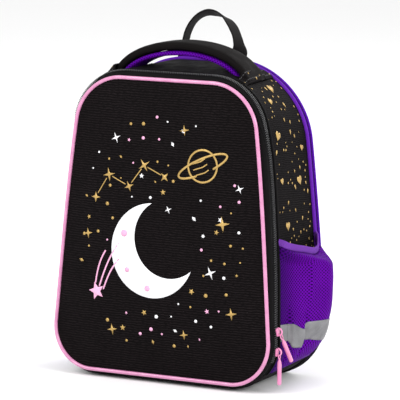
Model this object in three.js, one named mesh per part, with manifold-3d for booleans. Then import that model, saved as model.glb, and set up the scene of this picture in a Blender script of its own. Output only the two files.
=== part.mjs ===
// A school ransel: a light, stiff-fronted children's backpack, standing on its base.
// Millimetres, +Z up, +Y towards the wearer's back, origin at the middle of the base.
import * as THREE from "three";
import { mergeVertices } from "three/addons/utils/BufferGeometryUtils.js";
import Module from "manifold-3d";

// Clearances
const gap = 0.3;

// Body: its height at the back, and its depth at the top
const bodyHeight = 372;
const bodyTopDepth = 103;
const frontTopDrop = 6;
const pipingTopDrop = 13.7;
const pipingFootRise = 8.3;

// Outlines, each a rounded trapezoid with slightly bowed sides: the front piping's, the shell's
// behind it, and the shell's at the back
const pipingOutlineSize = {
  footHalfWidth: 149, topHalfWidth: 113.7, footRadius: 48.9, topRadius: 57.6,
  foot: pipingFootRise, height: bodyHeight - pipingTopDrop - pipingFootRise,
};
const frontOutlineSize = {
  footHalfWidth: 152, topHalfWidth: 120.8, footRadius: 57, topRadius: 64.7,
  foot: 0, height: bodyHeight - frontTopDrop,
};
const backOutlineSize = {
  footHalfWidth: 156.1, topHalfWidth: 120.8, footRadius: 65.7, topRadius: 97,
  foot: 0, height: bodyHeight,
};
const sideBow = 3.1;
const sideSkew = 2;

// The front leans, so the body is deeper at its foot
const frontTopY = -48;
const frontLean = 18.6;
const backTopY = frontTopY + bodyTopDepth;
const backLean = 2.3;

// Walls and edges
const gussetWall = 2.4;
const pipingRadius = 2.75;
const edgeRoundLength = 8;
const frontPanelWall = 6;
const frontDome = 9;
const backPanelWall = 9;
const backDome = 5;
const backLip = 1.6;
const backFaceInset = 12;
const backPadHeight = 4;

// Zipper: its middle lies this far behind the piping, and nearer to it at the foot
const zipperDepth = 18;
const zipperDepthRows = [[0, 0.66], [0.2, 0.72], [0.35, 0.92], [0.5, 1], [1, 1]];
const zipperTapeFront = 6;
const zipperTapeBack = 10;
const zipperFootHeight = 22;
const coilHalf = 3;
const coilHeight = 1.2;
const coilSink = 0.6;
const coilFootHeight = 40;

// Zipper sliders and their pulls
const upperSliderHeight = 78;
const lowerSliderHeight = 54.5;
const sliderHalfLength = 4.5;
const sliderHalfWidth = 4.2;
const sliderThickness = 3;
const sliderTaper = 0.72;
const bridgeRadius = 3.6;
const bridgeWire = 0.8;
const bridgeDrop = 1;
const pullRingRadius = 3.8;
const pullRingWire = 0.8;
const pullEyeRadius = 2.1;
const pullEyeWire = 0.9;
const pullRodRadius = 2.3;
const pullRodLength = 31;
const pullNeckLength = 9;
const upperPullSlant = 32;
const lowerPullSlant = 0;

// Seams across the top, where the handle is sewn on
const topSeamWidth = 86;
const seamStripWidth = 12;
const seamStripThickness = 3;

// Side pockets
const pocketWall = 1.6;
const pocketSeamGap = 0.9;
const pocketFootHeight = 20;
const pocketRimHeight = 170.5;
const pocketRimSag = 18;
const pocketBulge = 32;
const pocketPleat = 2;
const pocketPleatPlace = 0.5;
const bindingHeight = 8;
const bindingThickness = 2.6;
const reflectorFootHeight = 65;
const reflectorFall = 14;
const reflectorWidth = 19;
const reflectorThickness = 0.8;
const reflectorDrop = 9;
const reflectorDropPlace = 0.32;

// Carry handle
const handleHalfSpan = 94.5;
const handleTopHeight = bodyHeight + 28.5;
const handleFootHeight = bodyHeight - 25;
const handleHalfWidth = 19;
const handleFullness = 0.9;
const handleFlare = 0.22;
const handleThickness = 10.8;
const handleCentreY = (frontTopY + backTopY + 1) / 2;
const handleOverrun = 0.05;
const liningThickness = 6;

// Hanging loop
const loopHalfSpan = 37.5;
const loopCentreX = -4.5;
const loopTopHeight = bodyHeight + 56;
const loopSpringRise = 4;
const loopWebWidth = 19;
const loopWebThickness = 2;

// Back and shoulder straps
const yokeHeight = 28;
const yokeHalfWidth = 80;
const yokeTopDrop = 22;
const yokeThickness = 5;
const strapWidth = 58;
const strapThickness = 9;
const strapFootShare = 0.72;
const strapTopX = 44;
const strapFootX = 78;
const strapFootHeight = 128;
const strapStandOff = 34;
const webWidth = 25;
const webThickness = 1.8;
const webLead = 2;
const webSlack = 20;
const anchorX = 100;
const anchorHeight = 44;
const anchorSize = 30;
const anchorTopShare = 0.72;
const adjusterHeight = 20;
const adjusterThickness = 6;
const adjusterRim = 8;

// Mesh steps
const footSteps = 2;
const footCornerSteps = 5;
const sideSteps = 6;
const topCornerSteps = 6;
const topSteps = 3;
const pocketSteps = 12;
const reflectorSteps = 16;
const handleSteps = 22;
const loopSteps = 20;
const strapSteps = 16;
const pipingSides = 6;
const searchSteps = 40;

// Colours
const black = { color: 0x161415, roughness: 0.85, metalness: 0 };
const pink = { color: 0xeb96c8, roughness: 0.35, metalness: 0 };
const purple = { color: 0x5a0caa, roughness: 0.8, metalness: 0 };
const lightPurple = { color: 0x6e3caa, roughness: 0.7, metalness: 0 };
const silver = { color: 0x8c8c8c, roughness: 0.45, metalness: 0 };

const wasm = await Module();
wasm.setup();
const bag = new THREE.Group();
const up = new THREE.Vector3(0, 0, 1);
const rearward = new THREE.Vector3(0, 1, 0);
const clamp = THREE.MathUtils.clamp;
const lerp = THREE.MathUtils.lerp;
const radians = THREE.MathUtils.degToRad;
const smooth = THREE.MathUtils.smoothstep;

// Adds a named piece to the bag
function add(name, geometry, look) {
  const piece = new THREE.Mesh(geometry, new THREE.MeshStandardMaterial(look));
  piece.name = name;
  bag.add(piece);
  return piece;
}

// Turns points and triangles into a closed geometry whose faces point outwards
function closedGeometry(points, faces) {
  let volume = 0;
  const cross = new THREE.Vector3();
  for (const [a, b, c] of faces) volume += points[a].dot(cross.crossVectors(points[b], points[c]));
  const turned = volume < 0 ? faces.map(([a, b, c]) => [a, c, b]) : faces;
  const geometry = new THREE.BufferGeometry().setFromPoints(points);
  geometry.setIndex(turned.flat());
  geometry.computeVertexNormals();
  return geometry;
}

// Joins rings of points, one after the other; open lofts are capped at both ends
function loft(rings, closed = false) {
  const count = rings[0].length;
  const points = rings.flat();
  const faces = [];
  const spans = closed ? rings.length : rings.length - 1;
  for (let i = 0; i < spans; i++) {
    const here = i * count;
    const next = ((i + 1) % rings.length) * count;
    for (let j = 0; j < count; j++) {
      const k = (j + 1) % count;
      faces.push([here + j, here + k, next + k], [here + j, next + k, next + j]);
    }
  }
  if (!closed) {
    for (const [ring, start, turn] of [[rings[0], 0, 1], [rings.at(-1), points.length - count, -1]]) {
      const middle = ring.reduce((sum, p) => sum.add(p), new THREE.Vector3()).divideScalar(count);
      const apex = points.push(middle) - 1;
      for (let j = 0; j < count; j++) {
        const pair = [start + ((j + 1) % count), start + j];
        faces.push(turn > 0 ? [apex, ...pair] : [apex, pair[1], pair[0]]);
      }
    }
  }
  return closedGeometry(points, faces);
}

// A wall between an outer and an inner surface over a grid; it may close on itself along its length
function wall(rows, columns, outer, inner, closed = false) {
  const points = [];
  const faces = [];
  const across = columns + 1;
  const along = closed ? rows : rows + 1;
  for (const surface of [outer, inner]) {
    for (let i = 0; i < along; i++) {
      for (let j = 0; j < across; j++) points.push(surface(i / rows, j / columns));
    }
  }
  const half = along * across;
  const quad = (a, b, c, d) => faces.push([a, b, c], [a, c, d]);
  const at = (i, j) => (i % along) * across + j;
  for (let i = 0; i < rows; i++) {
    for (let j = 0; j < columns; j++) {
      quad(at(i, j), at(i + 1, j), at(i + 1, j + 1), at(i, j + 1));
      quad(half + at(i, j), half + at(i, j + 1), half + at(i + 1, j + 1), half + at(i + 1, j));
    }
    quad(at(i, 0), half + at(i, 0), half + at(i + 1, 0), at(i + 1, 0));
    quad(at(i, columns), at(i + 1, columns), half + at(i + 1, columns), half + at(i, columns));
  }
  if (!closed) {
    for (let j = 0; j < columns; j++) {
      quad(at(0, j), at(0, j + 1), half + at(0, j + 1), half + at(0, j));
      quad(at(rows, j), half + at(rows, j), half + at(rows, j + 1), at(rows, j + 1));
    }
  }
  return closedGeometry(points, faces);
}

// Manifold solids for the few pieces that are cut or joined
function solid(geometry) {
  const bare = new THREE.BufferGeometry();
  bare.setAttribute("position", geometry.getAttribute("position").clone());
  if (geometry.index) bare.setIndex(geometry.index.clone());
  const merged = mergeVertices(bare, 1e-4);
  return new wasm.Manifold(new wasm.Mesh({
    numProp: 3,
    vertProperties: merged.getAttribute("position").array,
    triVerts: new Uint32Array(merged.index.array),
  }));
}

function geometryOf(made) {
  const mesh = made.getMesh();
  const geometry = new THREE.BufferGeometry();
  geometry.setAttribute("position", new THREE.BufferAttribute(mesh.vertProperties, 3));
  geometry.setIndex(new THREE.BufferAttribute(mesh.triVerts, 1));
  geometry.computeVertexNormals();
  return geometry;
}

// Reads a value from a table of rows [share, value], in straight steps between the rows
function fromTable(rows, share) {
  const next = rows.findIndex((row) => row[0] >= share);
  if (next < 0) return rows.at(-1)[1];
  if (next === 0) return rows[0][1];
  const [from, to] = [rows[next - 1], rows[next]];
  return lerp(from[1], to[1], (share - from[0]) / (to[0] - from[0]));
}

// The shell's outline. A station runs from 0 at the middle of the base, up the side, to 1 at the
// middle of the top; stations from 1 to 2 come down the other side.
const stationRows = [0, 0.1, 0.3, 0.62, 0.9, 1];
const outlineSteps = [footSteps, footCornerSteps, sideSteps, topCornerSteps, topSteps];

function outlineOf(size) {
  const side = new THREE.Vector2(size.topHalfWidth - size.footHalfWidth, size.height).normalize();
  const inward = new THREE.Vector2(-side.y, side.x);
  const sideAngle = Math.atan2(-inward.y, -inward.x);
  const corner = (radius, z) => {
    const along = (z - inward.y * radius) / side.y;
    return new THREE.Vector2(size.footHalfWidth, 0)
      .addScaledVector(side, along).addScaledVector(inward, radius);
  };
  const foot = corner(size.footRadius, size.footRadius);
  const top = corner(size.topRadius, size.height - size.topRadius);
  const arc = (centre, radius, angle) => ({
    x: centre.x + radius * Math.cos(angle),
    z: centre.y + radius * Math.sin(angle),
    nx: Math.cos(angle),
    nz: Math.sin(angle),
  });
  const quarter = Math.PI / 2;
  return (share) => {
    const stretch = stationRows.findIndex((row, i) => i > 0 && share <= row) - 1;
    const [from, to] = [stationRows[stretch], stationRows[stretch + 1]];
    const q = (share - from) / (to - from);
    let p;
    if (stretch === 0) p = { x: foot.x * q, z: 0, nx: 0, nz: -1 };
    if (stretch === 1) p = arc(foot, size.footRadius, lerp(-quarter, sideAngle, q));
    if (stretch === 2) {
      const low = arc(foot, size.footRadius, sideAngle);
      const high = arc(top, size.topRadius, sideAngle);
      p = { ...low, x: lerp(low.x, high.x, q), z: lerp(low.z, high.z, q) };
    }
    if (stretch === 3) p = arc(top, size.topRadius, lerp(sideAngle, quarter, q));
    if (stretch === 4) p = { x: top.x * (1 - q), z: size.height, nx: 0, nz: 1 };
    const rise = p.z / size.height;
    const bow = 4 * rise * (1 - rise) * (sideBow + 2.5 * sideSkew * (rise - 0.5));
    p.x += bow * clamp(p.x / size.topHalfWidth, 0, 1);
    p.z += size.foot;
    return p;
  };
}

const pipingOutline = outlineOf(pipingOutlineSize);
const frontOutline = outlineOf(frontOutlineSize);
const backOutline = outlineOf(backOutlineSize);
const frontY = (z) => frontTopY - frontLean * (1 - z / frontOutlineSize.height);
const backY = (z) => backTopY + backLean * (1 - z / backOutlineSize.height);

// Where a station lies on the shell: side, outlines and the depth between them
function stationOf(station) {
  const side = station <= 1 ? 1 : -1;
  const share = station <= 1 ? station : 2 - station;
  const front = frontOutline(share);
  const back = backOutline(share);
  return { side, edge: pipingOutline(share), front, back, depth: backY(back.z) - frontY(front.z) };
}

// A point on the shell, so far behind the front piping and so far out from the outline; the front
// edge rounds in to the piping
function shellPoint(station, behind, out) {
  const { side, edge, front, back, depth } = stationOf(station);
  const share = behind / depth;
  const turn = clamp(1 - (behind - pipingRadius - gap) / edgeRoundLength, 0, 1);
  const rounded = 1 - Math.sqrt(1 - turn ** 2);
  const blend = (key) => lerp(lerp(front[key], back[key], share), edge[key], rounded);
  const normal = new THREE.Vector2(blend("nx"), blend("nz")).normalize();
  return new THREE.Vector3(
    side * (blend("x") + normal.x * out),
    lerp(frontY(front.z), backY(back.z), share),
    blend("z") + normal.y * out,
  );
}

const depthAt = (station) => stationOf(station).depth;

// The station of a height on the side, or of a half width on the top
function stationAtHeight(height) {
  let [low, high] = [stationRows[1], stationRows[4]];
  for (let i = 0; i < searchSteps; i++) {
    const middle = (low + high) / 2;
    if (shellPoint(middle, depthAt(middle) / 2, 0).z < height) low = middle;
    else high = middle;
  }
  return low;
}

function stationAtTopWidth(width) {
  let [low, high] = [stationRows[3], 1];
  for (let i = 0; i < searchSteps; i++) {
    const middle = (low + high) / 2;
    if (shellPoint(middle, depthAt(middle) / 2, 0).x > width) low = middle;
    else high = middle;
  }
  return low;
}

// All stations of the whole ring
const halfRing = [];
for (let stretch = 0; stretch < outlineSteps.length; stretch++) {
  for (let i = 0; i < outlineSteps[stretch]; i++) {
    halfRing.push(lerp(stationRows[stretch], stationRows[stretch + 1], i / outlineSteps[stretch]));
  }
}
const ringStations = [...halfRing, 1, ...halfRing.slice(1).reverse().map((station) => 2 - station)];

// The stations of a stretch of the ring, with its own two ends
function stretchStations(from, to) {
  const least = 0.004;
  const between = ringStations.filter((station) => station > from + least && station < to - least);
  return [from, ...between, to];
}

// A band of the shell's wall, from one depth to another, with its own outer profile
function band(stations, profile, closed) {
  const steps = closed ? stations.length : stations.length - 1;
  const columns = profile(stations[0]).length - 1;
  const surface = (level) => (i, j) => {
    const station = stations[Math.round(i * steps) % stations.length];
    const [behind, out, thickness] = profile(station)[Math.round(j * columns)];
    return shellPoint(station, behind, out - level * thickness);
  };
  return wall(steps, columns, surface(0), surface(1), closed);
}

// Depth of the zipper's middle and of its tape's edges
function zipperMiddle(station) {
  const rise = stationOf(station).front.z / frontOutlineSize.height;
  return zipperDepth * fromTable(zipperDepthRows, rise);
}
const tapeFront = (station) => zipperMiddle(station) - zipperTapeFront;
const tapeBack = (station) => zipperMiddle(station) + zipperTapeBack;
const bandBack = (station) => depthAt(station) - pipingRadius - gap;

const tapeStart = stationAtHeight(zipperFootHeight);
const coilStart = stationAtHeight(coilFootHeight);
const seamStation = stationAtTopWidth(topSeamWidth);

// The round cord of a piping, all the way round
function pipingRing(behind) {
  return loft(ringStations.map((station) => {
    const centre = shellPoint(station, behind(station), 0);
    const outside = shellPoint(station, behind(station), 1).sub(centre).normalize();
    centre.z = Math.max(centre.z, pipingRadius + gap);
    return Array.from({ length: pipingSides }, (_, i) => {
      const angle = (i / pipingSides) * 2 * Math.PI;
      return centre.clone()
        .addScaledVector(outside, pipingRadius * Math.cos(angle))
        .addScaledVector(rearward, pipingRadius * Math.sin(angle));
    });
  }), true);
}

// How far a panel bulges: 1 in the middle, 0 along its outline
function domeShare(x, z, size, inset) {
  const rise = clamp((z - size.foot) / size.height, 0, 1);
  const halfWidth = lerp(size.footHalfWidth, size.topHalfWidth, rise) + sideBow - inset;
  const across = Math.abs(x) / halfWidth;
  const upward = Math.abs(z - size.foot - size.height / 2) / (size.height / 2 - inset);
  return clamp(1 - across ** 4 - upward ** 4, 0, 1);
}

// One ring of a panel: the shell's outline moved inwards, then shrunk towards the middle
function panelRing(end, inset, scale, yOf) {
  const centreZ = backOutlineSize.height / 2;
  return ringStations.map((station) => {
    const p = shellPoint(station, end * depthAt(station), -inset);
    p.x *= scale;
    p.z = Math.max(centreZ + (p.z - centreZ) * scale, 0);
    p.y = yOf(p.x, p.z);
    return p;
  });
}

// The rings of a panel run from the middle of its inside over its edge to the middle of its face
const frontInsideScales = [0.4, 0.8, 1];
const frontFaceScales = [1, 0.95, 0.88, 0.76, 0.55, 0.3];
const backFaceScales = [0.97, 0.9, 0.8, 0.7, 0.58, 0.46, 0.32, 0.16];

function addFrontPanel() {
  const inset = pipingRadius + gap;
  const face = (x, z) => frontY(z) - frontDome * domeShare(x, z, pipingOutlineSize, inset);
  const inside = (x, z) => face(x, z) + frontPanelWall;
  const rings = [
    ...frontInsideScales.map((scale) => panelRing(0, inset, scale, inside)),
    ...frontFaceScales.map((scale) => panelRing(0, inset, scale, face)),
  ];
  add("front_panel", loft(rings), black);
}

// The face of the back panel: two long pads stand proud of it, each with a waist halfway up.
// The pads' height runs across from the middle to the edge, and their ends are shares of the height.
const padRows = [[0, 0], [0.12, 0], [0.22, 1], [0.78, 1], [0.9, 0], [1, 0]];
const padFoot = [0.19, 0.25];
const padTop = [0.8, 0.86];
const padWaist = 0.5;
const padWaistEdge = [0.015, 0.04];
const padWaistDepth = 0.8;

function backFace(x, z) {
  const dome = backDome * domeShare(x, z, backOutlineSize, backFaceInset);
  const across = Math.abs(x) / (backOutlineSize.topHalfWidth - backFaceInset);
  const pads = fromTable(padRows, clamp(across, 0, 1));
  const rise = clamp(z / backOutlineSize.height, 0, 1);
  const lengthways = smooth(rise, ...padFoot) * (1 - smooth(rise, ...padTop));
  const waist = 1 - padWaistDepth * (1 - smooth(Math.abs(rise - padWaist), ...padWaistEdge));
  const bare = backY(z) + pipingRadius + gap + backPanelWall + dome;
  return bare + backPadHeight * pads * lengthways * waist;
}

function addBackPanel() {
  const inner = pipingRadius + gap;
  const at = (behind) => (x, z) => backY(z) + inner + behind * backPanelWall;
  const rings = [
    panelRing(1, 0, 0.5, at(0)),
    panelRing(1, 0, 1, at(0)),
    panelRing(1, -backLip * 0.8, 1, at(0.25)),
    panelRing(1, -backLip, 1, at(0.5)),
    panelRing(1, backLip, 1, at(0.8)),
    panelRing(1, backFaceInset * 0.6, 1, at(1)),
    ...backFaceScales.map((scale) => panelRing(1, backFaceInset, scale, backFace)),
  ];
  return add("back_panel", loft(rings), purple).geometry;
}

function addPiping() {
  add("front_piping", pipingRing(() => 0), pink);
  add("back_piping", pipingRing(depthAt), lightPurple);
}

// A plain stretch of the wall, as rows from its front edge to its back edge
function plainRows(from, to, shares) {
  return shares.map((share) => [lerp(from, to, share), 0, gussetWall]);
}

function addFrontGusset() {
  const start = pipingRadius + gap;
  const shares = [0, 0.12, 0.38, 0.7, 1];
  add("front_gusset", band(ringStations, (station) => (
    plainRows(start, tapeFront(station) - gap, shares)), true), black);
}

// The tape has a shallow slot along its middle, and the coil of teeth lies in it
function addZipper() {
  const tapeStations = stretchStations(tapeStart, 2 - tapeStart);
  const slot = coilHalf + gap;
  const sink = coilSink + gap;
  const chamfer = 0.1;
  add("zipper_tape", band(tapeStations, (station) => {
    const middle = zipperMiddle(station);
    return [
      [middle - zipperTapeFront, 0, gussetWall],
      [middle - slot, 0, gussetWall],
      [middle - slot + chamfer, -sink, gussetWall - sink],
      [middle + slot - chamfer, -sink, gussetWall - sink],
      [middle + slot, 0, gussetWall],
      [middle + zipperTapeBack, 0, gussetWall],
    ];
  }), black);
  const coilStations = stretchStations(coilStart, 2 - coilStart);
  add("zipper_coil", band(coilStations, (station) => {
    const middle = zipperMiddle(station);
    const shoulder = coilHeight * 0.4;
    return [
      [middle - coilHalf, shoulder, shoulder + coilSink],
      [middle, coilHeight, coilHeight + coilSink],
      [middle + coilHalf, shoulder, shoulder + coilSink],
    ];
  }), black);
}

// The wall behind the zipper: base, two printed sides and the top
const seamGap = 0.0015;

function addBody() {
  const half = stretchStations(0, tapeStart - seamGap).slice(1);
  const baseStations = [...half.slice().reverse().map((station) => 2 - station), ...half];
  add("base_panel", band(baseStations, (station) => (
    plainRows(tapeFront(station), bandBack(station), [0, 0.5, 1]))), black);
  const plain = (station) => (
    plainRows(tapeBack(station) + gap, bandBack(station), [0, 0.33, 0.67, 1]));
  const sideStations = stretchStations(tapeStart, seamStation - seamGap);
  add("side_gusset_right", band(sideStations, plain), black);
  add("side_gusset_left", band(sideStations.map((station) => 2 - station), plain), black);
  add("top_gusset", band(stretchStations(seamStation, 2 - seamStation), plain), black);
}

// A folded strip covers the seam between the top and each side
const stationPerMillimetre = (stationRows[4] - stationRows[3])
  / (Math.PI * (frontOutlineSize.topRadius + backOutlineSize.topRadius) / 4);

function seamBand(side, from, to, height, depth) {
  const steps = 4;
  const stations = Array.from({ length: steps + 1 }, (_, i) => {
    const station = seamStation + lerp(from, to, i / steps) * stationPerMillimetre;
    return side > 0 ? station : 2 - station;
  });
  return band(stations, (station) => [0, 0.5, 1].map((share) => [
    lerp(tapeBack(station) + gap, bandBack(station), share), height, height + depth,
  ]));
}

function addSeamStrips() {
  const half = seamStripWidth / 2;
  for (const [name, side] of [["right", 1], ["left", -1]]) {
    add(`seam_strip_${name}`, seamBand(side, -half, half, gap + seamStripThickness, -gap), black);
  }
}

// The pocket's bulge by height, as shares of the pocket's height and of its largest bulge
const bulgeRows = [
  [0, 0.05], [0.04, 0.3], [0.12, 0.44], [0.23, 0.56], [0.36, 0.72], [0.49, 0.85],
  [0.66, 0.96], [0.8, 1], [0.9, 0.97], [0.96, 0.78], [1, 0.4],
];
// The rim's sag by place from the front seam to the back seam
const rimRows = [
  [0, 0], [0.06, 0.2], [0.2, 0.46], [0.39, 0.68], [0.55, 0.88], [0.75, 1], [0.9, 0.8],
  [0.96, 0.5], [1, 0],
];
// How far back the bulge lies below the rim, the width of its pleat, and where the rim takes over
const bulgeSkew = 2.2;
const rimRoundness = 0.7;
const pleatWidth = 0.07;
const rimStretch = [0.85, 1];

// A bell-shaped share: 1 at a place, fading out on both sides
function bell(value, place, width) {
  return Math.exp(-(((value - place) / width) ** 2));
}

function pocketRim(across) {
  return pocketRimHeight - pocketRimSag * fromTable(rimRows, across);
}

// A place on a pocket: across from its front seam to its back seam, and up from its foot to its rim
function pocketPlace(side, across, rise, out) {
  const height = lerp(pocketFootHeight, pocketRim(across), rise);
  const station = stationAtHeight(Math.min(height, pocketRimHeight));
  const behind = lerp(tapeBack(station) + gap, bandBack(station), across);
  const full = Math.max(Math.sin(Math.PI * across ** bulgeSkew), 0);
  const held = Math.sin(Math.PI * across) ** rimRoundness;
  const shape = lerp(full, held, smooth(rise, ...rimStretch));
  const pleat = pocketPleat * bell(across, pocketPleatPlace, pleatWidth) * Math.sin(Math.PI * rise);
  const bulge = pocketBulge * shape * fromTable(bulgeRows, rise);
  const pleated = bulge - Math.min(pleat, pocketBulge * shape / 5);
  return shellPoint(side > 0 ? station : 2 - station, behind, pocketSeamGap + pleated + out);
}

// Columns stand a little closer together towards the front seam
const pocketAcross = Array.from({ length: pocketSteps + 1 }, (_, i) => (i / pocketSteps) ** 0.9);

function addPockets() {
  const rows = bulgeRows.length - 1;
  for (const [name, side] of [["right", 1], ["left", -1]]) {
    const level = (out) => (i, j) => pocketPlace(
      side, pocketAcross[Math.round(j * pocketSteps)], bulgeRows[Math.round(i * rows)][0], out,
    );
    add(`side_pocket_${name}`, wall(rows, pocketSteps, level(pocketWall), level(0)), purple);
    addBinding(name, side);
    addReflector(name, side);
  }
}

// The binding stands on the rim, a little thicker than the cloth, with a rounded top edge
function addBinding(name, side) {
  const proud = (bindingThickness - pocketWall) / 2;
  const shoulder = bindingHeight * 0.7;
  const rim = (across, out, rise) => (
    pocketPlace(side, across, 1, out).addScaledVector(up, gap + rise));
  const sections = pocketAcross.map((across) => [
    rim(across, 0, 0),
    rim(across, pocketWall + proud, 0),
    rim(across, pocketWall + proud, shoulder),
    rim(across, pocketWall / 2, bindingHeight),
    rim(across, 0, shoulder),
  ]);
  add(`pocket_binding_${name}`, loft(sections), lightPurple);
}

// The reflective strip follows the pocket and drops where the cloth is pleated
const reflectorReach = [0.02, 0.98];
const reflectorDropWidth = 0.12;

function addReflector(name, side) {
  const level = (out) => (i, j) => {
    const across = lerp(...reflectorReach, i);
    const drop = reflectorDrop * bell(across, reflectorDropPlace, reflectorDropWidth);
    const height = reflectorFootHeight - drop - reflectorFall * across + reflectorWidth * j;
    const rise = (height - pocketFootHeight) / (pocketRim(across) - pocketFootHeight);
    return pocketPlace(side, across, rise, out);
  };
  const face = pocketWall + pocketSeamGap;
  const strip = wall(reflectorSteps, 2, level(face + reflectorThickness), level(face));
  add(`pocket_reflector_${name}`, strip, silver);
}

// A padded strip or a webbing along a path: wide along a hint, thick across it
function ribbon(points, shapeAt, sides = 10) {
  const sections = points.map((point, i) => {
    const before = points[Math.max(i - 1, 0)];
    const after = points[Math.min(i + 1, points.length - 1)];
    const along = after.clone().sub(before).normalize();
    const { hint, width, thickness, squareness } = shapeAt(i / (points.length - 1), along, point);
    const wide = hint.clone().addScaledVector(along, -hint.dot(along)).normalize();
    const thick = new THREE.Vector3().crossVectors(along, wide);
    return Array.from({ length: sides }, (_, j) => {
      const angle = ((j + 0.5) / sides) * 2 * Math.PI;
      const shape = (value) => Math.sign(value) * Math.abs(value) ** squareness;
      return point.clone()
        .addScaledVector(wide, (width / 2) * shape(Math.cos(angle)))
        .addScaledVector(thick, (thickness / 2) * shape(Math.sin(angle)));
    });
  });
  return loft(sections);
}

// The space inside the shell's outer skin, swollen by a clearance
function shellCore(clearance) {
  const shares = [0.02, 0.35, 0.7, 1];
  return solid(loft(shares.map((share) => ringStations.map((station) => (
    shellPoint(station, share * depthAt(station), clearance))))));
}

// The handle arches over the top in two layers, cut to sit on the shell and against its seam strips
function handleLayer(under, thickness) {
  const rise = handleTopHeight - handleFootHeight;
  const arch = (angle) => {
    const sine = Math.sin(angle);
    const height = handleFootHeight + rise * Math.sign(sine) * Math.abs(sine) ** handleFullness;
    return new THREE.Vector3(handleHalfSpan * Math.cos(angle), handleCentreY, height);
  };
  const nearby = 0.01;
  const points = Array.from({ length: handleSteps + 1 }, (_, i) => {
    const angle = lerp(-handleOverrun, 1 + handleOverrun, i / handleSteps) * Math.PI;
    const along = arch(angle + nearby).sub(arch(angle - nearby)).normalize();
    const inward = new THREE.Vector3(-along.z, 0, along.x);
    return arch(angle).addScaledVector(inward, under + thickness / 2);
  });
  return solid(ribbon(points, (share) => ({
    hint: rearward,
    width: 2 * handleHalfWidth * (1 + handleFlare * Math.abs(2 * share - 1) ** 6),
    thickness,
    squareness: 0.5,
  })));
}

function addHandle() {
  const reach = 30;
  const inner = seamStripWidth / 2 + gap / 2;
  let cutter = shellCore(3 * gap);
  for (const side of [1, -1]) {
    cutter = cutter.add(solid(seamBand(side, -reach, inner, seamStripThickness + 3 * gap, gap)));
  }
  const layers = [
    ["carry_handle", 0, handleThickness, black],
    ["handle_lining", handleThickness + gap, liningThickness, purple],
  ];
  for (const [name, under, thickness, look] of layers) {
    const parts = handleLayer(under, thickness).subtract(cutter).decompose();
    parts.sort((a, b) => b.volume() - a.volume());
    add(name, geometryOf(parts[0]), look);
  }
}

// A hanging loop of webbing that turns half round on its way over
const loopTwistRows = [
  [0, 90], [0.12, 84], [0.28, 46], [0.42, 14], [0.56, -6], [0.68, -30], [0.82, -66], [0.92, -86],
  [1, -90],
];

function addLoop() {
  const legSteps = 2;
  const foot = backOutlineSize.height - yokeTopDrop + gap;
  const spring = backOutlineSize.height + loopSpringRise;
  const y = backFace(0, foot) + 2 * gap + loopWebThickness / 2;
  const leg = (side) => Array.from({ length: legSteps }, (_, i) => (
    new THREE.Vector3(loopCentreX + side * loopHalfSpan, y, lerp(foot, spring, i / legSteps))));
  const arch = Array.from({ length: loopSteps + 1 }, (_, i) => {
    const angle = Math.PI * (1 - i / loopSteps);
    const height = spring + (loopTopHeight - spring) * Math.sin(angle);
    return new THREE.Vector3(loopCentreX + loopHalfSpan * Math.cos(angle), y, height);
  });
  const points = [...leg(-1), ...arch, ...leg(1).reverse()];
  const last = points.length - 1;
  add("hang_loop", ribbon(points, (share, along) => {
    const place = clamp((share * last - legSteps) / loopSteps, 0, 1);
    const turn = radians(fromTable(loopTwistRows, place));
    const outward = new THREE.Vector3(-along.z, 0, along.x);
    const hint = outward.multiplyScalar(Math.sin(turn)).addScaledVector(rearward, Math.cos(turn));
    return { hint, width: loopWebWidth, thickness: loopWebThickness, squareness: 0.3 };
  }, 8), black);
}

// A flat piece that lies on the back panel, cut to its face
function backPatch(left, right, foot, top, thickness) {
  const buried = 3;
  const level = (out) => (i, j) => {
    const x = lerp(lerp(left[0], left[1], i), lerp(right[0], right[1], i), j);
    const z = lerp(foot, top, i);
    return new THREE.Vector3(x, backFace(x, z) + gap + out, z);
  };
  return solid(wall(2, 8, level(thickness), level(-buried)));
}

// Shoulder straps: how far each stands off the back, by place along the strap
const strapOffRows = [
  [0, 0], [0.06, 0.12], [0.2, 0.5], [0.4, 0.9], [0.6, 1], [0.8, 0.86], [1, 0.56],
];
const across = new THREE.Vector3(1, 0, 0);

function addStraps(backGeometry) {
  const panel = solid(backGeometry);
  const seat = panel.add(panel.translate([0, gap, 0]));
  const yokeTop = backOutlineSize.height - yokeTopDrop;
  const yokeFoot = yokeTop - yokeHeight;
  const yokeLeft = [-yokeHalfWidth * 0.96, -yokeHalfWidth];
  const yokeRight = [yokeHalfWidth * 0.96, yokeHalfWidth];
  const yoke = backPatch(yokeLeft, yokeRight, yokeFoot, yokeTop, yokeThickness);
  add("strap_yoke", geometryOf(yoke.subtract(seat)), black);
  const aboveStraps = backPatch(yokeLeft, yokeRight, yokeFoot - gap, yokeTop, 4 * yokeThickness);
  const taken = aboveStraps.add(seat);
  for (const [name, side] of [["right", 1], ["left", -1]]) {
    const points = strapPath(side, yokeFoot);
    const end = points.at(-1);
    const down = end.clone().sub(points.at(-2)).normalize();
    addShoulderStrap(name, points, taken);
    addAdjuster(name, end, down);
    addAnchor(name, side, seat);
    addWebbing(name, side, end.clone().addScaledVector(down, 2 * gap + adjusterHeight), down);
  }
}

// A strap hangs from the yoke in a shallow arc, clear of the back panel
function strapPath(side, yokeFoot) {
  const flush = gap + yokeThickness / 2;
  return Array.from({ length: strapSteps + 1 }, (_, i) => {
    const share = i / strapSteps;
    const x = lerp(strapTopX, strapFootX, share ** 2);
    const z = lerp(yokeFoot + gap, strapFootHeight, share);
    const y = backFace(x, yokeFoot) + flush + strapStandOff * fromTable(strapOffRows, share);
    return new THREE.Vector3(side * x, y, z);
  });
}

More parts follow.
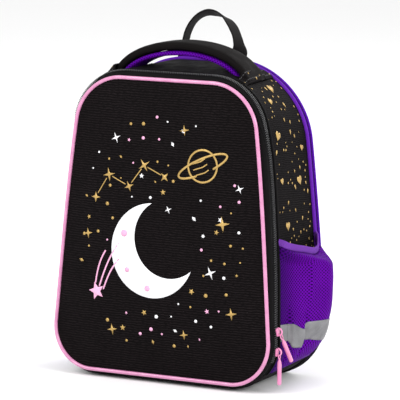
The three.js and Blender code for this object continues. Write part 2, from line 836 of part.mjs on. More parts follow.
function addShoulderStrap(name, points, taken) {
  const strap = solid(ribbon(points, (share) => ({
    hint: across,
    width: strapWidth * lerp(1, strapFootShare, smooth(share, 0.55, 1)),
    thickness: lerp(yokeThickness, strapThickness, smooth(share, 0.05, 0.15)),
    squareness: 0.4,
  })));
  add(`shoulder_strap_${name}`, geometryOf(strap.subtract(taken)), purple);
}

function addAdjuster(name, end, down) {
  const path = [gap, gap + adjusterHeight].map((reach) => end.clone().addScaledVector(down, reach));
  add(`strap_adjuster_${name}`, ribbon(path, () => ({
    hint: across, width: webWidth + adjusterRim, thickness: adjusterThickness, squareness: 0.3,
  }), 8), black);
}

// The patch that holds the webbing at the foot of the back panel
const anchorTop = anchorHeight + anchorSize / 2;

function addAnchor(name, side, seat) {
  const halves = [anchorSize / 2, anchorTopShare * anchorSize / 2];
  const left = halves.map((half) => side * anchorX - half);
  const right = halves.map((half) => side * anchorX + half);
  const patch = backPatch(left, right, anchorTop - anchorSize, anchorTop, 2 * webThickness);
  add(`strap_anchor_${name}`, geometryOf(patch.subtract(seat)), black);
}

// The webbing hangs slack from the adjuster down to its anchor
function addWebbing(name, side, start, down) {
  const footY = backFace(anchorX, anchorTop) + 2 * gap + webThickness;
  const finish = new THREE.Vector3(side * anchorX, footY, anchorTop + gap);
  const curve = new THREE.CubicBezierCurve3(
    start.clone().addScaledVector(down, webLead),
    start.clone().addScaledVector(down, webSlack),
    finish.clone().addScaledVector(up, webSlack),
    finish.clone().addScaledVector(up, webLead),
  );
  add(`strap_webbing_${name}`, ribbon([start, ...curve.getPoints(8), finish], () => ({
    hint: across, width: webWidth, thickness: webThickness, squareness: 0.3,
  }), 8), black);
}

// A slider's own frame: out from the shell, rearward, and up along the zipper
function sliderFrame(height) {
  const station = stationAtHeight(height);
  const middle = zipperMiddle(station);
  const seat = shellPoint(station, middle, coilHeight + gap);
  const outward = shellPoint(station, middle, coilHeight + gap + 1).sub(seat).normalize();
  const along = new THREE.Vector3().crossVectors(outward, rearward).normalize();
  return new THREE.Matrix4().makeBasis(outward, rearward, along).setPosition(seat);
}

// The slider's plate, wider at its shoulders, with the bridge that holds the pull ring
function addSliderBody(name, frame) {
  const half = sliderHalfWidth;
  const shoulder = sliderHalfLength * 0.7;
  const outline = new THREE.Shape([
    [-half, shoulder], [-half * sliderTaper, sliderHalfLength],
    [half * sliderTaper, sliderHalfLength], [half, shoulder],
    [half * sliderTaper, -sliderHalfLength], [-half * sliderTaper, -sliderHalfLength],
  ].map(([x, y]) => new THREE.Vector2(x, y)));
  const plate = new THREE.ExtrudeGeometry(outline, { depth: sliderThickness, bevelEnabled: false });
  plate.applyMatrix4(new THREE.Matrix4().makeBasis(rearward, up, across));
  const bridge = new THREE.TorusGeometry(bridgeRadius, bridgeWire, 6, 12).rotateX(Math.PI / 2);
  bridge.translate(sliderThickness, 0, -bridgeDrop);
  const block = 8 * bridgeRadius;
  const below = new THREE.BoxGeometry(block, block, block);
  below.translate((sliderThickness - block) / 2, 0, 0);
  const body = solid(plate).add(solid(bridge).subtract(solid(below)));
  add(`slider_${name}`, geometryOf(body).applyMatrix4(frame), pink);
}

// The pull: an eye through the ring and a rod with a waisted neck and a round tip, as rows of
// [share of the radius, place below the neck]
function pullGeometry() {
  const eyeDrop = 2 * pullRingRadius + pullEyeRadius - pullEyeWire - pullRingWire - 1.2 * gap;
  const eye = new THREE.TorusGeometry(pullEyeRadius, pullEyeWire, 6, 12).rotateX(Math.PI / 2);
  eye.translate(0, 0, -eyeDrop);
  const tip = -pullRodLength;
  const profile = [
    [0, tip], [0.6, tip + 0.2], [1, tip + 1.6], [1, -pullNeckLength],
    [0.55, -pullNeckLength * 0.4], [0.45, 0], [0, 0],
  ].map(([share, z]) => new THREE.Vector2(share * pullRodRadius, z));
  const rod = new THREE.LatheGeometry(profile, 10).rotateX(Math.PI / 2);
  rod.translate(0, 0, pullEyeWire * 0.4 - eyeDrop - pullEyeRadius);
  return geometryOf(solid(eye).add(solid(rod)));
}

// One slider with its bridge, its ring and its pull
function addSlider(name, height, slant) {
  const frame = sliderFrame(height);
  addSliderBody(name, frame);
  const pivot = new THREE.Vector3(sliderThickness + pullRingWire + 1.5 * gap, 0, -bridgeDrop);
  const hang = new THREE.Matrix4().makeRotationX(radians(slant));
  hang.setPosition(pivot.applyMatrix4(frame));
  const ring = new THREE.TorusGeometry(pullRingRadius, pullRingWire, 6, 14).rotateY(Math.PI / 2);
  ring.translate(0, 0, -pullRingRadius);
  add(`pull_ring_${name}`, ring.applyMatrix4(hang), pink);
  add(`pull_${name}`, pullGeometry().applyMatrix4(hang), pink);
}

addFrontPanel();
addPiping();
addFrontGusset();
addZipper();
addBody();
addSeamStrips();
const backGeometry = addBackPanel();
addPockets();
addHandle();
addLoop();
addStraps(backGeometry);
addSlider("upper", upperSliderHeight, upperPullSlant);
addSlider("lower", lowerSliderHeight, lowerPullSlant);

export default bag;
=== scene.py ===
import math
import random

import bmesh
import bpy
import numpy as np
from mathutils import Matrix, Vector
from mathutils.geometry import tessellate_polygon


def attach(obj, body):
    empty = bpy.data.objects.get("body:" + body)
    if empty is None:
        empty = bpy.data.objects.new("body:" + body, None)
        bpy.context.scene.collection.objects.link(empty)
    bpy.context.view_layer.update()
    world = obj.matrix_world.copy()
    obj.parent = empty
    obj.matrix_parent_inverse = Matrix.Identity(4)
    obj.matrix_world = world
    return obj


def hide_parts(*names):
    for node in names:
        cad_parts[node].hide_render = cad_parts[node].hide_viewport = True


MM = 0.001
TAU = 2 * math.pi

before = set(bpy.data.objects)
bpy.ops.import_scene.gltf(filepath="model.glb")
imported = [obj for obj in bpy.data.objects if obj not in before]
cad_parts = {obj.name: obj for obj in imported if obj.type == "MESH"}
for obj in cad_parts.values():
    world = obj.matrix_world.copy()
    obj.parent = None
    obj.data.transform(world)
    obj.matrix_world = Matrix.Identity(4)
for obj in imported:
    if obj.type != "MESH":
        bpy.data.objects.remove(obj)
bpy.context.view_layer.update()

# Body sizes, close to the frame's
GAP = 0.3
BODY_HEIGHT = 372.0
PIPING = dict(foot_half=149.0, top_half=113.7, foot=8.3, height=350.0, foot_radius=48.9, top_radius=57.6)
FRONT = dict(foot_half=152.0, top_half=120.8, foot=0.0, height=366.0, foot_radius=57.0, top_radius=64.7)
BACK = dict(foot_half=156.1, top_half=120.8, foot=0.0, height=372.0, foot_radius=70.5, top_radius=97.0)
SIDE_BOW = 3.1
SIDE_SKEW = 2.0
FRONT_TOP_Y = -48.0
FRONT_LEAN = 18.6
BACK_TOP_Y = 55.0
BACK_LEAN = 2.3
WALL = 2.4
PIPING_RADIUS = 2.75
CORD_RADIUS = 2.25
EDGE_ROUND = 8.0
FRONT_PANEL_WALL = 6.0
FRONT_DOME = 9.0
BACK_PANEL_WALL = 9.0
BACK_DOME = 5.0
BACK_FACE_INSET = 12.0
BACK_PAD = 4.0
BACK_BLACK_HEIGHT = 44.0

# Zipper
ZIPPER_DEPTH = 18.0
ZIPPER_DEPTH_ROWS = (
    (0, 0.66), (0.2, 0.72), (0.35, 0.92), (0.5, 1), (0.68, 0.96), (0.76, 0.86), (0.81, 0.7),
    (0.86, 0.52), (1, 0.48),
)
TAPE_FRONT = 6.0
TAPE_BACK = 6.5
TAPE_LEAST_FRONT = 4.2
TAPE_FOOT_HEIGHT = 22.0
COIL_FOOT_HEIGHT = 40.0
COIL_HALF = 3.0
COIL_HEIGHT = 1.2

# Seams at the top
TOP_SEAM_WIDTH = 86.0
STRIP_WIDTH = 17.0
STRIP_THICKNESS = 3.0
HEM_STITCHES = (-0.22, 0.3)
SLEEVE_REACH = 31.0
SLEEVE_EDGE = 8.0
SLEEVE_RISE = (1.5, 8.5)
SEAM_SHARE = 0.0015

# Side pockets
POCKET_WALL = 1.6
POCKET_SEAM_GAP = 0.9
POCKET_FOOT_HEIGHT = 24.5
POCKET_RIM_HEIGHT = 170.5
POCKET_RIM_SAG = 18.0
POCKET_BULGE = 32.0
POCKET_WEAVE = (104.0, 150.0)
BINDING_HEIGHT = 8.0
BINDING_THICKNESS = 2.6
REFLECTOR_FOOT_HEIGHT = 65.0
REFLECTOR_FALL = 17.0
REFLECTOR_WIDTH = 19.0

STATION_ROWS = (0, 0.1, 0.3, 0.62, 0.9, 1)
SIDES = (("right", 1), ("left", -1))


def lerp(a, b, share):
    return a + (b - a) * share


def smoothstep(value, low, high):
    share = np.clip((value - low) / (high - low), 0, 1)
    return share * share * (3 - 2 * share)


def bell(value, place, width):
    return np.exp(-(((value - place) / width) ** 2))


def unit(vectors):
    return vectors / np.linalg.norm(vectors, axis=-1, keepdims=True)


def directions(path):
    return unit(np.gradient(path, axis=0))


def run_so_far(points):
    """Length so far at each point of a path."""
    return np.concatenate([[0], np.cumsum(np.linalg.norm(np.diff(points, axis=0), axis=1))])


def straight_table(rows, value):
    """Reads rows of (share, value) in straight steps."""
    xs, ys = zip(*rows)
    return np.interp(value, xs, ys)


def smooth_table(rows, value):
    """Reads rows of (share, value) along one smooth curve through them."""
    xs, ys = (np.array(column, float) for column in zip(*rows))
    slopes = np.gradient(ys, xs)
    value = np.clip(value, xs[0], xs[-1])
    i = np.clip(np.searchsorted(xs, value, side="right") - 1, 0, len(xs) - 2)
    width = xs[i + 1] - xs[i]
    t = (value - xs[i]) / width
    return (
        (2 * t**3 - 3 * t**2 + 1) * ys[i] + (t**3 - 2 * t**2 + t) * width * slopes[i]
        + (3 * t**2 - 2 * t**3) * ys[i + 1] + (t**3 - t**2) * width * slopes[i + 1]
    )


# The shell: outlines in x and z, and the depth between front and back
def outline(size, share):
    """Half of a rounded outline, from the middle of its foot to its top: x, z and the outward way."""
    side = np.array([size["top_half"] - size["foot_half"], size["height"]])
    side /= np.linalg.norm(side)
    inward = np.array([-side[1], side[0]])
    side_angle = math.atan2(-inward[1], -inward[0])

    def corner(radius, z):
        along = (z - inward[1] * radius) / side[1]
        return np.array([size["foot_half"], 0]) + side * along + inward * radius

    foot = corner(size["foot_radius"], size["foot_radius"])
    top = corner(size["top_radius"], size["height"] - size["top_radius"])

    def arc(centre, radius, angle):
        c, s = np.cos(angle), np.sin(angle)
        return centre[0] + radius * c, centre[1] + radius * s, c, s

    share = np.asarray(share, float)
    q = [np.clip((share - a) / (b - a), 0, 1) for a, b in zip(STATION_ROWS, STATION_ROWS[1:])]
    flat = np.zeros_like(share)
    low = arc(foot, size["foot_radius"], side_angle)
    high = arc(top, size["top_radius"], side_angle)
    stretches = [
        (foot[0] * q[0], flat, flat, flat - 1),
        arc(foot, size["foot_radius"], lerp(-TAU / 4, side_angle, q[1])),
        (lerp(low[0], high[0], q[2]), lerp(low[1], high[1], q[2]), flat + low[2], flat + low[3]),
        arc(top, size["top_radius"], lerp(side_angle, TAU / 4, q[3])),
        (top[0] * (1 - q[4]), flat + size["height"], flat, flat + 1),
    ]
    which = [share <= row for row in STATION_ROWS[1:]]
    x, z, nx, nz = (np.select(which, [s[k] for s in stretches], stretches[-1][k]) for k in range(4))
    rise = z / size["height"]
    bow = 4 * rise * (1 - rise) * (SIDE_BOW + 2.5 * SIDE_SKEW * (rise - 0.5))
    x = x + bow * np.clip(x / size["top_half"], 0, 1)
    return x, z + size["foot"], nx, nz


def front_y(z):
    return FRONT_TOP_Y - FRONT_LEAN * (1 - z / FRONT["height"])


def back_y(z):
    return BACK_TOP_Y + BACK_LEAN * (1 - z / BACK["height"])


def one_side(station):
    station = np.mod(station, 2)
    return np.where(station <= 1, 1.0, -1.0), np.where(station <= 1, station, 2 - station)


def depth_at(station):
    share = one_side(station)[1]
    return back_y(outline(BACK, share)[1]) - front_y(outline(FRONT, share)[1])


def shell(station, behind, out=0.0):
    """Points on the shell, so far behind the front piping and so far out from the outline."""
    station, behind, out = np.broadcast_arrays(*(np.asarray(v, float) for v in (station, behind, out)))
    side, share = one_side(station)
    front, back, edge = outline(FRONT, share), outline(BACK, share), outline(PIPING, share)
    y_front, y_back = front_y(front[1]), back_y(back[1])
    along = behind / (y_back - y_front)
    turn = np.clip(1 - (behind - PIPING_RADIUS - GAP) / EDGE_ROUND, 0, 1)
    rounded = 1 - np.sqrt(1 - turn**2)
    x, z, nx, nz = (lerp(lerp(front[k], back[k], along), edge[k], rounded) for k in range(4))
    length = np.hypot(nx, nz)
    return np.stack([side * (x + nx / length * out), lerp(y_front, y_back, along), z + nz / length * out], -1)


def shell_out(station, behind):
    """Outward directions of the shell."""
    return unit(shell(station, behind, 1.0) - shell(station, behind, 0.0))


DENSE = np.linspace(STATION_ROWS[1], 1, 4000)
DENSE_MIDDLE = shell(DENSE, depth_at(DENSE) / 2)


def station_at_height(height):
    return np.interp(height, DENSE_MIDDLE[:, 2], DENSE)


def station_at_top_width(width):
    return float(np.interp(-width, -DENSE_MIDDLE[2000:, 0], DENSE[2000:]))


def ring_stations(count, start=0.0, end=2.0):
    """Stations at even steps of length along the shell's middle, from start to end."""
    dense = np.linspace(start, end, 6000)
    run = run_so_far(shell(dense, depth_at(dense) / 2))
    return np.interp(np.linspace(0, run[-1], count + 1), run, dense)


def zipper_middle(station):
    rise = outline(FRONT, one_side(station)[1])[1] / FRONT["height"]
    return ZIPPER_DEPTH * straight_table(ZIPPER_DEPTH_ROWS, rise)


def tape_front(station):
    return np.maximum(zipper_middle(station) - TAPE_FRONT, TAPE_LEAST_FRONT)


def tape_back(station):
    return zipper_middle(station) + TAPE_BACK


def band_back(station):
    return depth_at(station) - PIPING_RADIUS - GAP


TAPE_START = float(station_at_height(TAPE_FOOT_HEIGHT))
COIL_START = float(station_at_height(COIL_FOOT_HEIGHT))
SEAM = station_at_top_width(TOP_SEAM_WIDTH)


# Meshes
def new_object(name, mesh, material):
    piece = bpy.data.objects.new(name, mesh)
    bpy.context.scene.collection.objects.link(piece)
    mesh.materials.append(material)
    mesh.shade_smooth()
    return piece


def dress(piece, slot, *nodes):
    """Puts a piece on the bag: it rides on the one body and may stand for CAD nodes."""
    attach(piece, "root")
    if nodes:
        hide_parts(*nodes)
    return piece


def run_lengths(points):
    """Length so far along each direction of a grid, in millimetres."""
    along = np.linalg.norm(np.diff(points, axis=0), axis=-1).mean(1)
    across = np.linalg.norm(np.diff(points, axis=1), axis=-1).mean(0)
    return np.concatenate([[0], np.cumsum(along)]), np.concatenate([[0], np.cumsum(across)])


def grid(name, points, material, closed_along=False, closed_across=False, caps=False, uv=None, thick=0.0):
    """A surface over a grid of points; closed directions repeat their first row at the end."""
    n, m = points.shape[0], points.shape[1]
    rows, columns = n - closed_along, m - closed_across
    if uv is None:
        along, across = run_lengths(points)
        uv = np.stack(np.meshgrid(along, across, indexing="ij"), -1)
    i, j = np.meshgrid(np.arange(n - 1), np.arange(m - 1), indexing="ij")
    i, j = i.ravel(), j.ravel()
    corners = [(i, j), (i + 1, j), (i + 1, j + 1), (i, j + 1)]
    faces = np.stack([(a % rows) * columns + (b % columns) for a, b in corners], -1)
    loops = np.stack([uv[a, b] for a, b in corners], 1).reshape(-1, 2)
    faces = faces.tolist()
    extra = []
    if caps:
        extra = [list(range(columns))[::-1], [(rows - 1) * columns + k for k in range(columns)]]
    mesh = bpy.data.meshes.new(name)
    mesh.from_pydata((points[:rows, :columns].reshape(-1, 3) * MM).tolist(), [], faces + extra)
    layer = mesh.uv_layers.new(name="cloth")
    flat = np.concatenate([loops, np.zeros((sum(len(f) for f in extra), 2))]).astype(np.float32)
    layer.data.foreach_set("uv", flat.ravel())
    if not thick:
        outward(mesh)
    piece = new_object(name, mesh, material)
    if thick:
        solidify(piece, thick)
    return piece


def outward(mesh):
    """Turns a closed mesh so that its faces point outwards."""
    co = np.empty(len(mesh.vertices) * 3, np.float32)
    mesh.vertices.foreach_get("co", co)
    co = co.reshape(-1, 3)
    mesh.calc_loop_triangles()
    triangles = np.empty(len(mesh.loop_triangles) * 3, np.int32)
    mesh.loop_triangles.foreach_get("vertices", triangles)
    a, b, c = (co[triangles.reshape(-1, 3)[:, k]] for k in range(3))
    if (a * np.cross(b, c)).sum() < 0:
        mesh.flip_normals()


def turn_to(mesh, way, face=0):
    """Turns an open mesh so that one of its faces, and so all, point this way."""
    if mesh.polygons[face].normal.dot(Vector(way)) < 0:
        mesh.flip_normals()


def solidify(piece, thick):
    modifier = piece.modifiers.new("thickness", "SOLIDIFY")
    modifier.thickness = thick * MM
    modifier.offset = -1.0
    modifier.use_even_offset = True
    modifier.use_quality_normals = True


def ribbon(name, path, wide, width, thickness, material, squareness=0.5, sides=20, closed=False):
    """A padded strip or webbing along a path: wide along a hint, thick across it."""
    count = len(path)
    width = np.broadcast_to(np.asarray(width, float), (count,))
    thickness = np.broadcast_to(np.asarray(thickness, float), (count,))
    along = np.gradient(path, axis=0)
    if closed:
        along[0] = along[-1] = path[1] - path[-2]
    along = unit(along)
    wide = np.broadcast_to(np.asarray(wide, float), path.shape)
    wide = unit(wide - along * (wide * along).sum(1, keepdims=True))
    thick = np.cross(along, wide)
    angle = np.linspace(0, TAU, sides + 1)
    shape = lambda v: np.sign(v) * np.abs(v) ** squareness
    c, s = shape(np.cos(angle)), shape(np.sin(angle))
    points = (
        path[:, None] + wide[:, None] * (width[:, None] / 2 * c)[..., None]
        + thick[:, None] * (thickness[:, None] / 2 * s)[..., None]
    )
    return grid(name, points, material, closed_along=closed, closed_across=True, caps=not closed)


def joined(name, parts, material):
    """One mesh from many small ones, each (points, faces)."""
    points, faces, start = [], [], 0
    for some_points, some_faces in parts:
        points.append(some_points)
        faces += [[k + start for k in face] for face in some_faces]
        start += len(some_points)
    mesh = bpy.data.meshes.new(name)
    mesh.from_pydata((np.concatenate(points) * MM).tolist(), [], faces)
    return new_object(name, mesh, material)


def tube_faces(sections, sides, sign):
    """Faces of a closed tube of rings of points; the sign turns them inside out."""
    faces = []
    for r in range(sections - 1):
        for k in range(sides):
            a, b = r * sides + k, r * sides + (k + 1) % sides
            faces.append([a, b, b + sides, a + sides][::sign])
    faces.append(list(range(sides))[::-sign])
    faces.append([(sections - 1) * sides + k for k in range(sides)][::sign])
    return faces


STITCH_SECTIONS = ((0, 0.35, -0.8), (0.14, 0.8, 0.1), (0.5, 1, 0.45), (0.86, 0.8, 0.1), (1, 0.35, -0.8))
STITCH_SIDES = 6


def stitch_part(start, end, out, radius):
    """One stitch: a short thread that dips into the cloth at both ends."""
    axis = end - start
    side = unit(np.cross(axis, out))
    points = []
    for share, size, lift in STITCH_SECTIONS:
        centre = start + axis * share + out * radius * lift
        for k in range(STITCH_SIDES):
            angle = TAU * k / STITCH_SIDES
            points.append(centre + radius * size * (side * math.cos(angle) + out * math.sin(angle)))
    return np.array(points), tube_faces(len(STITCH_SECTIONS), STITCH_SIDES, -1)


def stitch_row(path, outs, length=3.0, space=1.0, radius=0.32):
    """Stitches at even steps along a path that lies on the cloth."""
    run = run_so_far(path)
    count = max(int(run[-1] / (length + space)), 1)
    place = lambda at, values: np.array([np.interp(at, run, values[:, k]) for k in range(3)])
    parts = []
    for i in range(count):
        begin = (i + 0.5) * run[-1] / count - length / 2
        start, end = place(begin, path), place(begin + length, path)
        parts.append(stitch_part(start, end, unit(place(begin + length / 2, outs)), radius))
    return parts


# Materials
def add_node(tree, kind, **values):
    node = tree.nodes.new(kind)
    for key, value in values.items():
        if key in node.inputs:
            node.inputs[key].default_value = value
        else:
            setattr(node, key, value)
    return node


def feed(tree, node, values, first=0):
    """Links or sets a node's inputs from the first one on."""
    for socket, value in zip(node.inputs[first:], values):
        if hasattr(value, "is_linked"):
            tree.links.new(value, socket)
        else:
            socket.default_value = value


def maths(tree, operation, a, b=0.0, c=0.0, clamp=False):
    node = add_node(tree, "ShaderNodeMath", operation=operation, use_clamp=clamp)
    feed(tree, node, (a, b, c))
    return node.outputs[0]


def vector_maths(tree, operation, a, b):
    node = add_node(tree, "ShaderNodeVectorMath", operation=operation)
    feed(tree, node, (a, b))
    return node.outputs[0]


def cloth_place(tree):
    """Place on the cloth in millimetres, from the cloth's own layout."""
    return add_node(tree, "ShaderNodeTexCoord").outputs["UV"]


def split(tree, vector):
    node = add_node(tree, "ShaderNodeSeparateXYZ")
    tree.links.new(vector, node.inputs[0])
    return node.outputs[0], node.outputs[1], node.outputs[2]


def noise(tree, vector, size, detail=2.0, stretch=(1, 1, 1)):
    """Noise whose grain is about so many millimetres."""
    scaled = vector_maths(tree, "DIVIDE", vector, tuple(size * s for s in stretch))
    node = add_node(tree, "ShaderNodeTexNoise", Scale=1.0, Detail=detail)
    tree.links.new(scaled, node.inputs["Vector"])
    return node.outputs["Fac"]


def ribs(tree, run, pitch):
    """A wave from 0 to 1 across ribs of a pitch."""
    wave = maths(tree, "SINE", maths(tree, "MULTIPLY", run, TAU / pitch))
    return maths(tree, "MULTIPLY_ADD", wave, 0.5, 0.5)


def mixed(tree, share, a, b):
    node = add_node(tree, "ShaderNodeMix", data_type="RGBA")
    tree.links.new(share, node.inputs[0])
    feed(tree, node, ((*a, 1), (*b, 1)), 6)
    return node.outputs[2]


def ranged(tree, value, low, high, to_low=0.0, to_high=1.0):
    node = add_node(tree, "ShaderNodeMapRange")
    node.interpolation_type = "SMOOTHSTEP"
    feed(tree, node, (value, low, high, to_low, to_high))
    return node.outputs[0]


def bump(tree, height, depth, strength=1.0, under=None):
    """A bump so many millimetres deep."""
    node = add_node(tree, "ShaderNodeBump", Strength=strength, Distance=depth * MM)
    tree.links.new(height, node.inputs["Height"])
    if under is not None:
        tree.links.new(under, node.inputs["Normal"])
    return node.outputs[0]


def start_material(name, roughness, sheen=0.0, metallic=0.0, coat=0.0, specular=0.5):
    material = bpy.data.materials.new(name)
    material.use_nodes = True
    tree = material.node_tree
    shader = tree.nodes["Principled BSDF"]
    shader.inputs["Roughness"].default_value = roughness
    shader.inputs["Metallic"].default_value = metallic
    shader.inputs["Sheen Weight"].default_value = sheen
    shader.inputs["Sheen Roughness"].default_value = 0.45
    shader.inputs["Coat Weight"].default_value = coat
    shader.inputs["Coat Roughness"].default_value = 0.2
    shader.inputs["Specular IOR Level"].default_value = specular
    return material, tree, shader


def wire(tree, shader, color=None, roughness=None, normal=None):
    for socket, value in (("Base Color", color), ("Roughness", roughness), ("Normal", normal)):
        if value is not None:
            tree.links.new(value, shader.inputs[socket])


def ribbed_cloth(name, dark, light, pitch, across_y=False):
    """Polyester with fine broken ribs."""
    material, tree, shader = start_material(name, 0.72, specular=0.04)
    place = cloth_place(tree)
    run = split(tree, place)[0 if across_y else 1]
    wander = noise(tree, place, 9.0, 1.0)
    wave = ribs(tree, maths(tree, "MULTIPLY_ADD", wander, pitch * 0.9, run), pitch)
    stretch = (1, 4, 4) if across_y else (4, 1, 1)
    grain = noise(tree, place, 1.1, 3.0, stretch)
    rib = maths(tree, "MULTIPLY", wave, ranged(tree, grain, 0.3, 0.62))
    cloud = noise(tree, place, 60.0, 2.0)
    tone = maths(tree, "MULTIPLY", rib, ranged(tree, cloud, 0.3, 0.7, 0.75, 1.0))
    color = mixed(tree, tone, dark, light)
    normal = bump(tree, rib, 0.35, 0.5)
    normal = bump(tree, noise(tree, place, 0.5, 2.0), 0.12, 0.5, normal)
    wire(tree, shader, color, ranged(tree, grain, 0.3, 0.7, 0.62, 0.84), normal)
    return material


def smooth_cloth(name, dark, light, grain_size=0.7):
    """Tight plain cloth: a fine over-and-under weave with faint clouds."""
    roughness = 0.68
    material, tree, shader = start_material(name, roughness, specular=0.05)
    place = cloth_place(tree)
    x, y, _ = split(tree, place)
    weave = maths(tree, "MULTIPLY", ribs(tree, x, grain_size * 2), ribs(tree, y, grain_size * 2))
    cloud = noise(tree, place, 14.0, 3.0)
    clouds = maths(tree, "MULTIPLY", cloud, 0.6)
    tone = maths(tree, "ADD", maths(tree, "MULTIPLY", weave, 0.35), clouds, clamp=True)
    color = mixed(tree, tone, dark, light)
    normal = bump(tree, weave, 0.15, 0.5)
    normal = bump(tree, noise(tree, place, 6.0, 3.0), 0.4, 0.25, normal)
    wire(tree, shader, color, ranged(tree, cloud, 0.3, 0.7, roughness - 0.08, roughness + 0.08), normal)
    return material


def mesh_cloth(name, light, dark, pitch=(3.8, 4.6), hole=0.9, shade=0.0):
    """Spacer mesh: staggered rows of small holes between raised threads; it may carry painted shade that
    darkens it towards a seam.
    """
    material, tree, shader = start_material(name, 0.62, specular=0.04)
    place = cloth_place(tree)
    size = (*pitch, 1)
    near = []
    for shift in (0.0, 0.5):
        cell = vector_maths(tree, "ADD", vector_maths(tree, "DIVIDE", place, size), (shift, shift, 0))
        u, v, _ = split(tree, cell)
        squares = []
        for run, step in ((u, pitch[0]), (v, pitch[1] * 0.8)):
            off = maths(tree, "MULTIPLY", maths(tree, "SUBTRACT", maths(tree, "FRACT", run), 0.5), step)
            squares.append(maths(tree, "POWER", off, 2.0))
        near.append(maths(tree, "SQRT", maths(tree, "ADD", *squares)))
    distance = maths(tree, "MINIMUM", near[0], near[1])
    thread = ranged(tree, distance, hole * 0.55, hole * 1.25)
    cloud = noise(tree, place, 25.0, 2.0)
    fine = noise(tree, place, 0.7, 2.0)
    tone = maths(tree, "MULTIPLY", thread, ranged(tree, fine, 0.25, 0.6, 0.8, 1.0))
    tone = maths(tree, "MULTIPLY", tone, ranged(tree, cloud, 0.3, 0.7, 0.86, 1.0))
    # Painted shade: the tone is darkest at the seam edge (u = 0) and lightens to full over the given
    # millimetres
    if shade:
        tone = maths(tree, "MULTIPLY", tone, ranged(tree, split(tree, place)[0], 0, shade, 0.3, 1.0))
    color = mixed(tree, tone, dark, light)
    normal = bump(tree, thread, 0.8, 0.55)
    wire(tree, shader, color, ranged(tree, fine, 0.3, 0.7, 0.5, 0.75), normal)
    return material


def band_cloth(name, dark, light, pitch):
    """Webbing and elastic: close ribs along their length, crossed by finer ones."""
    material, tree, shader = start_material(name, 0.66, specular=0.06)
    place = cloth_place(tree)
    u, v, _ = split(tree, place)
    long_rib = ribs(tree, v, pitch)
    cross = ribs(tree, maths(tree, "MULTIPLY_ADD", long_rib, 0.3, u), pitch * 0.6)
    weave = maths(tree, "MULTIPLY", maths(tree, "ADD", long_rib, cross), 0.5)
    fine = noise(tree, place, 0.6, 2.0)
    tone = maths(tree, "MULTIPLY", weave, ranged(tree, fine, 0.25, 0.65, 0.7, 1.0))
    wire(tree, shader, mixed(tree, tone, dark, light), None, bump(tree, weave, 0.3, 0.6))
    return material


def satin(name, color, shade, roughness, coat=0.0, sheen=0.0):
    """Smooth piping, enamel or soft rubber, with faint drift in tone and gloss."""
    material, tree, shader = start_material(name, roughness, coat=coat, sheen=sheen)
    place = cloth_place(tree)
    drift = noise(tree, place, 12.0, 3.0)
    fine = noise(tree, place, 0.9, 2.0)
    wire(
        tree, shader, mixed(tree, ranged(tree, drift, 0.35, 0.7), color, shade),
        ranged(tree, drift, 0.3, 0.7, roughness - 0.05, roughness + 0.08), bump(tree, fine, 0.06, 0.4),
    )
    return material


def reflective(name):
    """Grey tape of tiny glass beads under a faint diamond grid."""
    material, tree, shader = start_material(name, 0.42, metallic=0.35)
    place = cloth_place(tree)
    u, v, _ = split(tree, place)
    slants = [ribs(tree, maths(tree, way, u, v), 2.2) for way in ("ADD", "SUBTRACT")]
    grid_lines = maths(tree, "MAXIMUM", *slants)
    beads = noise(tree, place, 0.35, 1.0)
    drift = noise(tree, place, 18.0, 3.0)
    tone = maths(tree, "MULTIPLY_ADD", beads, 0.5, maths(tree, "MULTIPLY", drift, 0.5))
    color = mixed(tree, ranged(tree, tone, 0.3, 0.7), (0.11, 0.11, 0.115), (0.24, 0.24, 0.25))
    normal = bump(tree, ranged(tree, grid_lines, 0.9, 1.0), 0.08, 0.3)
    wire(tree, shader, color, ranged(tree, drift, 0.3, 0.7, 0.36, 0.55), normal)
    return material


def foil(name, color, shade, metallic, roughness):
    """Printed ink or foil that follows the cloth's ribs and has tiny flecks missing."""
    material, tree, shader = start_material(name, roughness, metallic=metallic)
    place = cloth_place(tree)
    flecks = noise(tree, place, 0.8, 3.0)
    drift = noise(tree, place, 16.0, 2.0)
    tone = maths(tree, "MULTIPLY", ranged(tree, flecks, 0.25, 0.45), ranged(tree, drift, 0.3, 0.7, 0.7, 1.0))
    _, v, _ = split(tree, place)
    normal = bump(tree, ribs(tree, v, 3.0), 0.1, 0.3)
    gloss = ranged(tree, flecks, 0.3, 0.6, roughness + 0.1, roughness)
    wire(tree, shader, mixed(tree, tone, shade, color), gloss, normal)
    return material


FABRIC = ribbed_cloth("shell_fabric", (0.002, 0.0014, 0.0016), (0.0125, 0.0095, 0.0102), 2.9)
SIDE_FABRIC = ribbed_cloth("printed_fabric", (0.002, 0.0016, 0.0018), (0.0125, 0.0105, 0.011), 2.6, True)
BASE_FABRIC = ribbed_cloth("base_fabric", (0.003, 0.0026, 0.0028), (0.024, 0.022, 0.023), 2.4, True)
BLACK = smooth_cloth("band_fabric", (0.002, 0.0018, 0.002), (0.0075, 0.0068, 0.0072))
SOFT_BLACK = smooth_cloth("handle_fabric", (0.002, 0.0015, 0.0015), (0.0095, 0.0078, 0.0078), grain_size=1.1)
TAPE = band_cloth("zipper_tape", (0.002, 0.002, 0.0022), (0.0085, 0.008, 0.0085), 1.1)
TEETH = satin("zipper_teeth", (0.03, 0.03, 0.032), (0.055, 0.055, 0.058), 0.26)
THREAD = satin("black_thread", (0.02, 0.02, 0.022), (0.035, 0.034, 0.036), 0.55, sheen=0.2)
PINK = satin("pink_piping", (0.6, 0.24, 0.42), (0.52, 0.18, 0.35), 0.26, coat=0.5)
ENAMEL = satin("pink_enamel", (0.7, 0.22, 0.42), (0.64, 0.18, 0.37), 0.26, coat=0.45)
MESH = mesh_cloth("purple_mesh", (0.105, 0.0006, 0.32), (0.012, 0.0002, 0.05))
# The pocket's mesh carries painted shade, darkening it towards the zipper seam over its first 42 mm
POCKET_MESH = mesh_cloth("pocket_mesh", (0.125, 0.0008, 0.34), (0.01, 0.0001, 0.045), hole=1.0, shade=42.0)
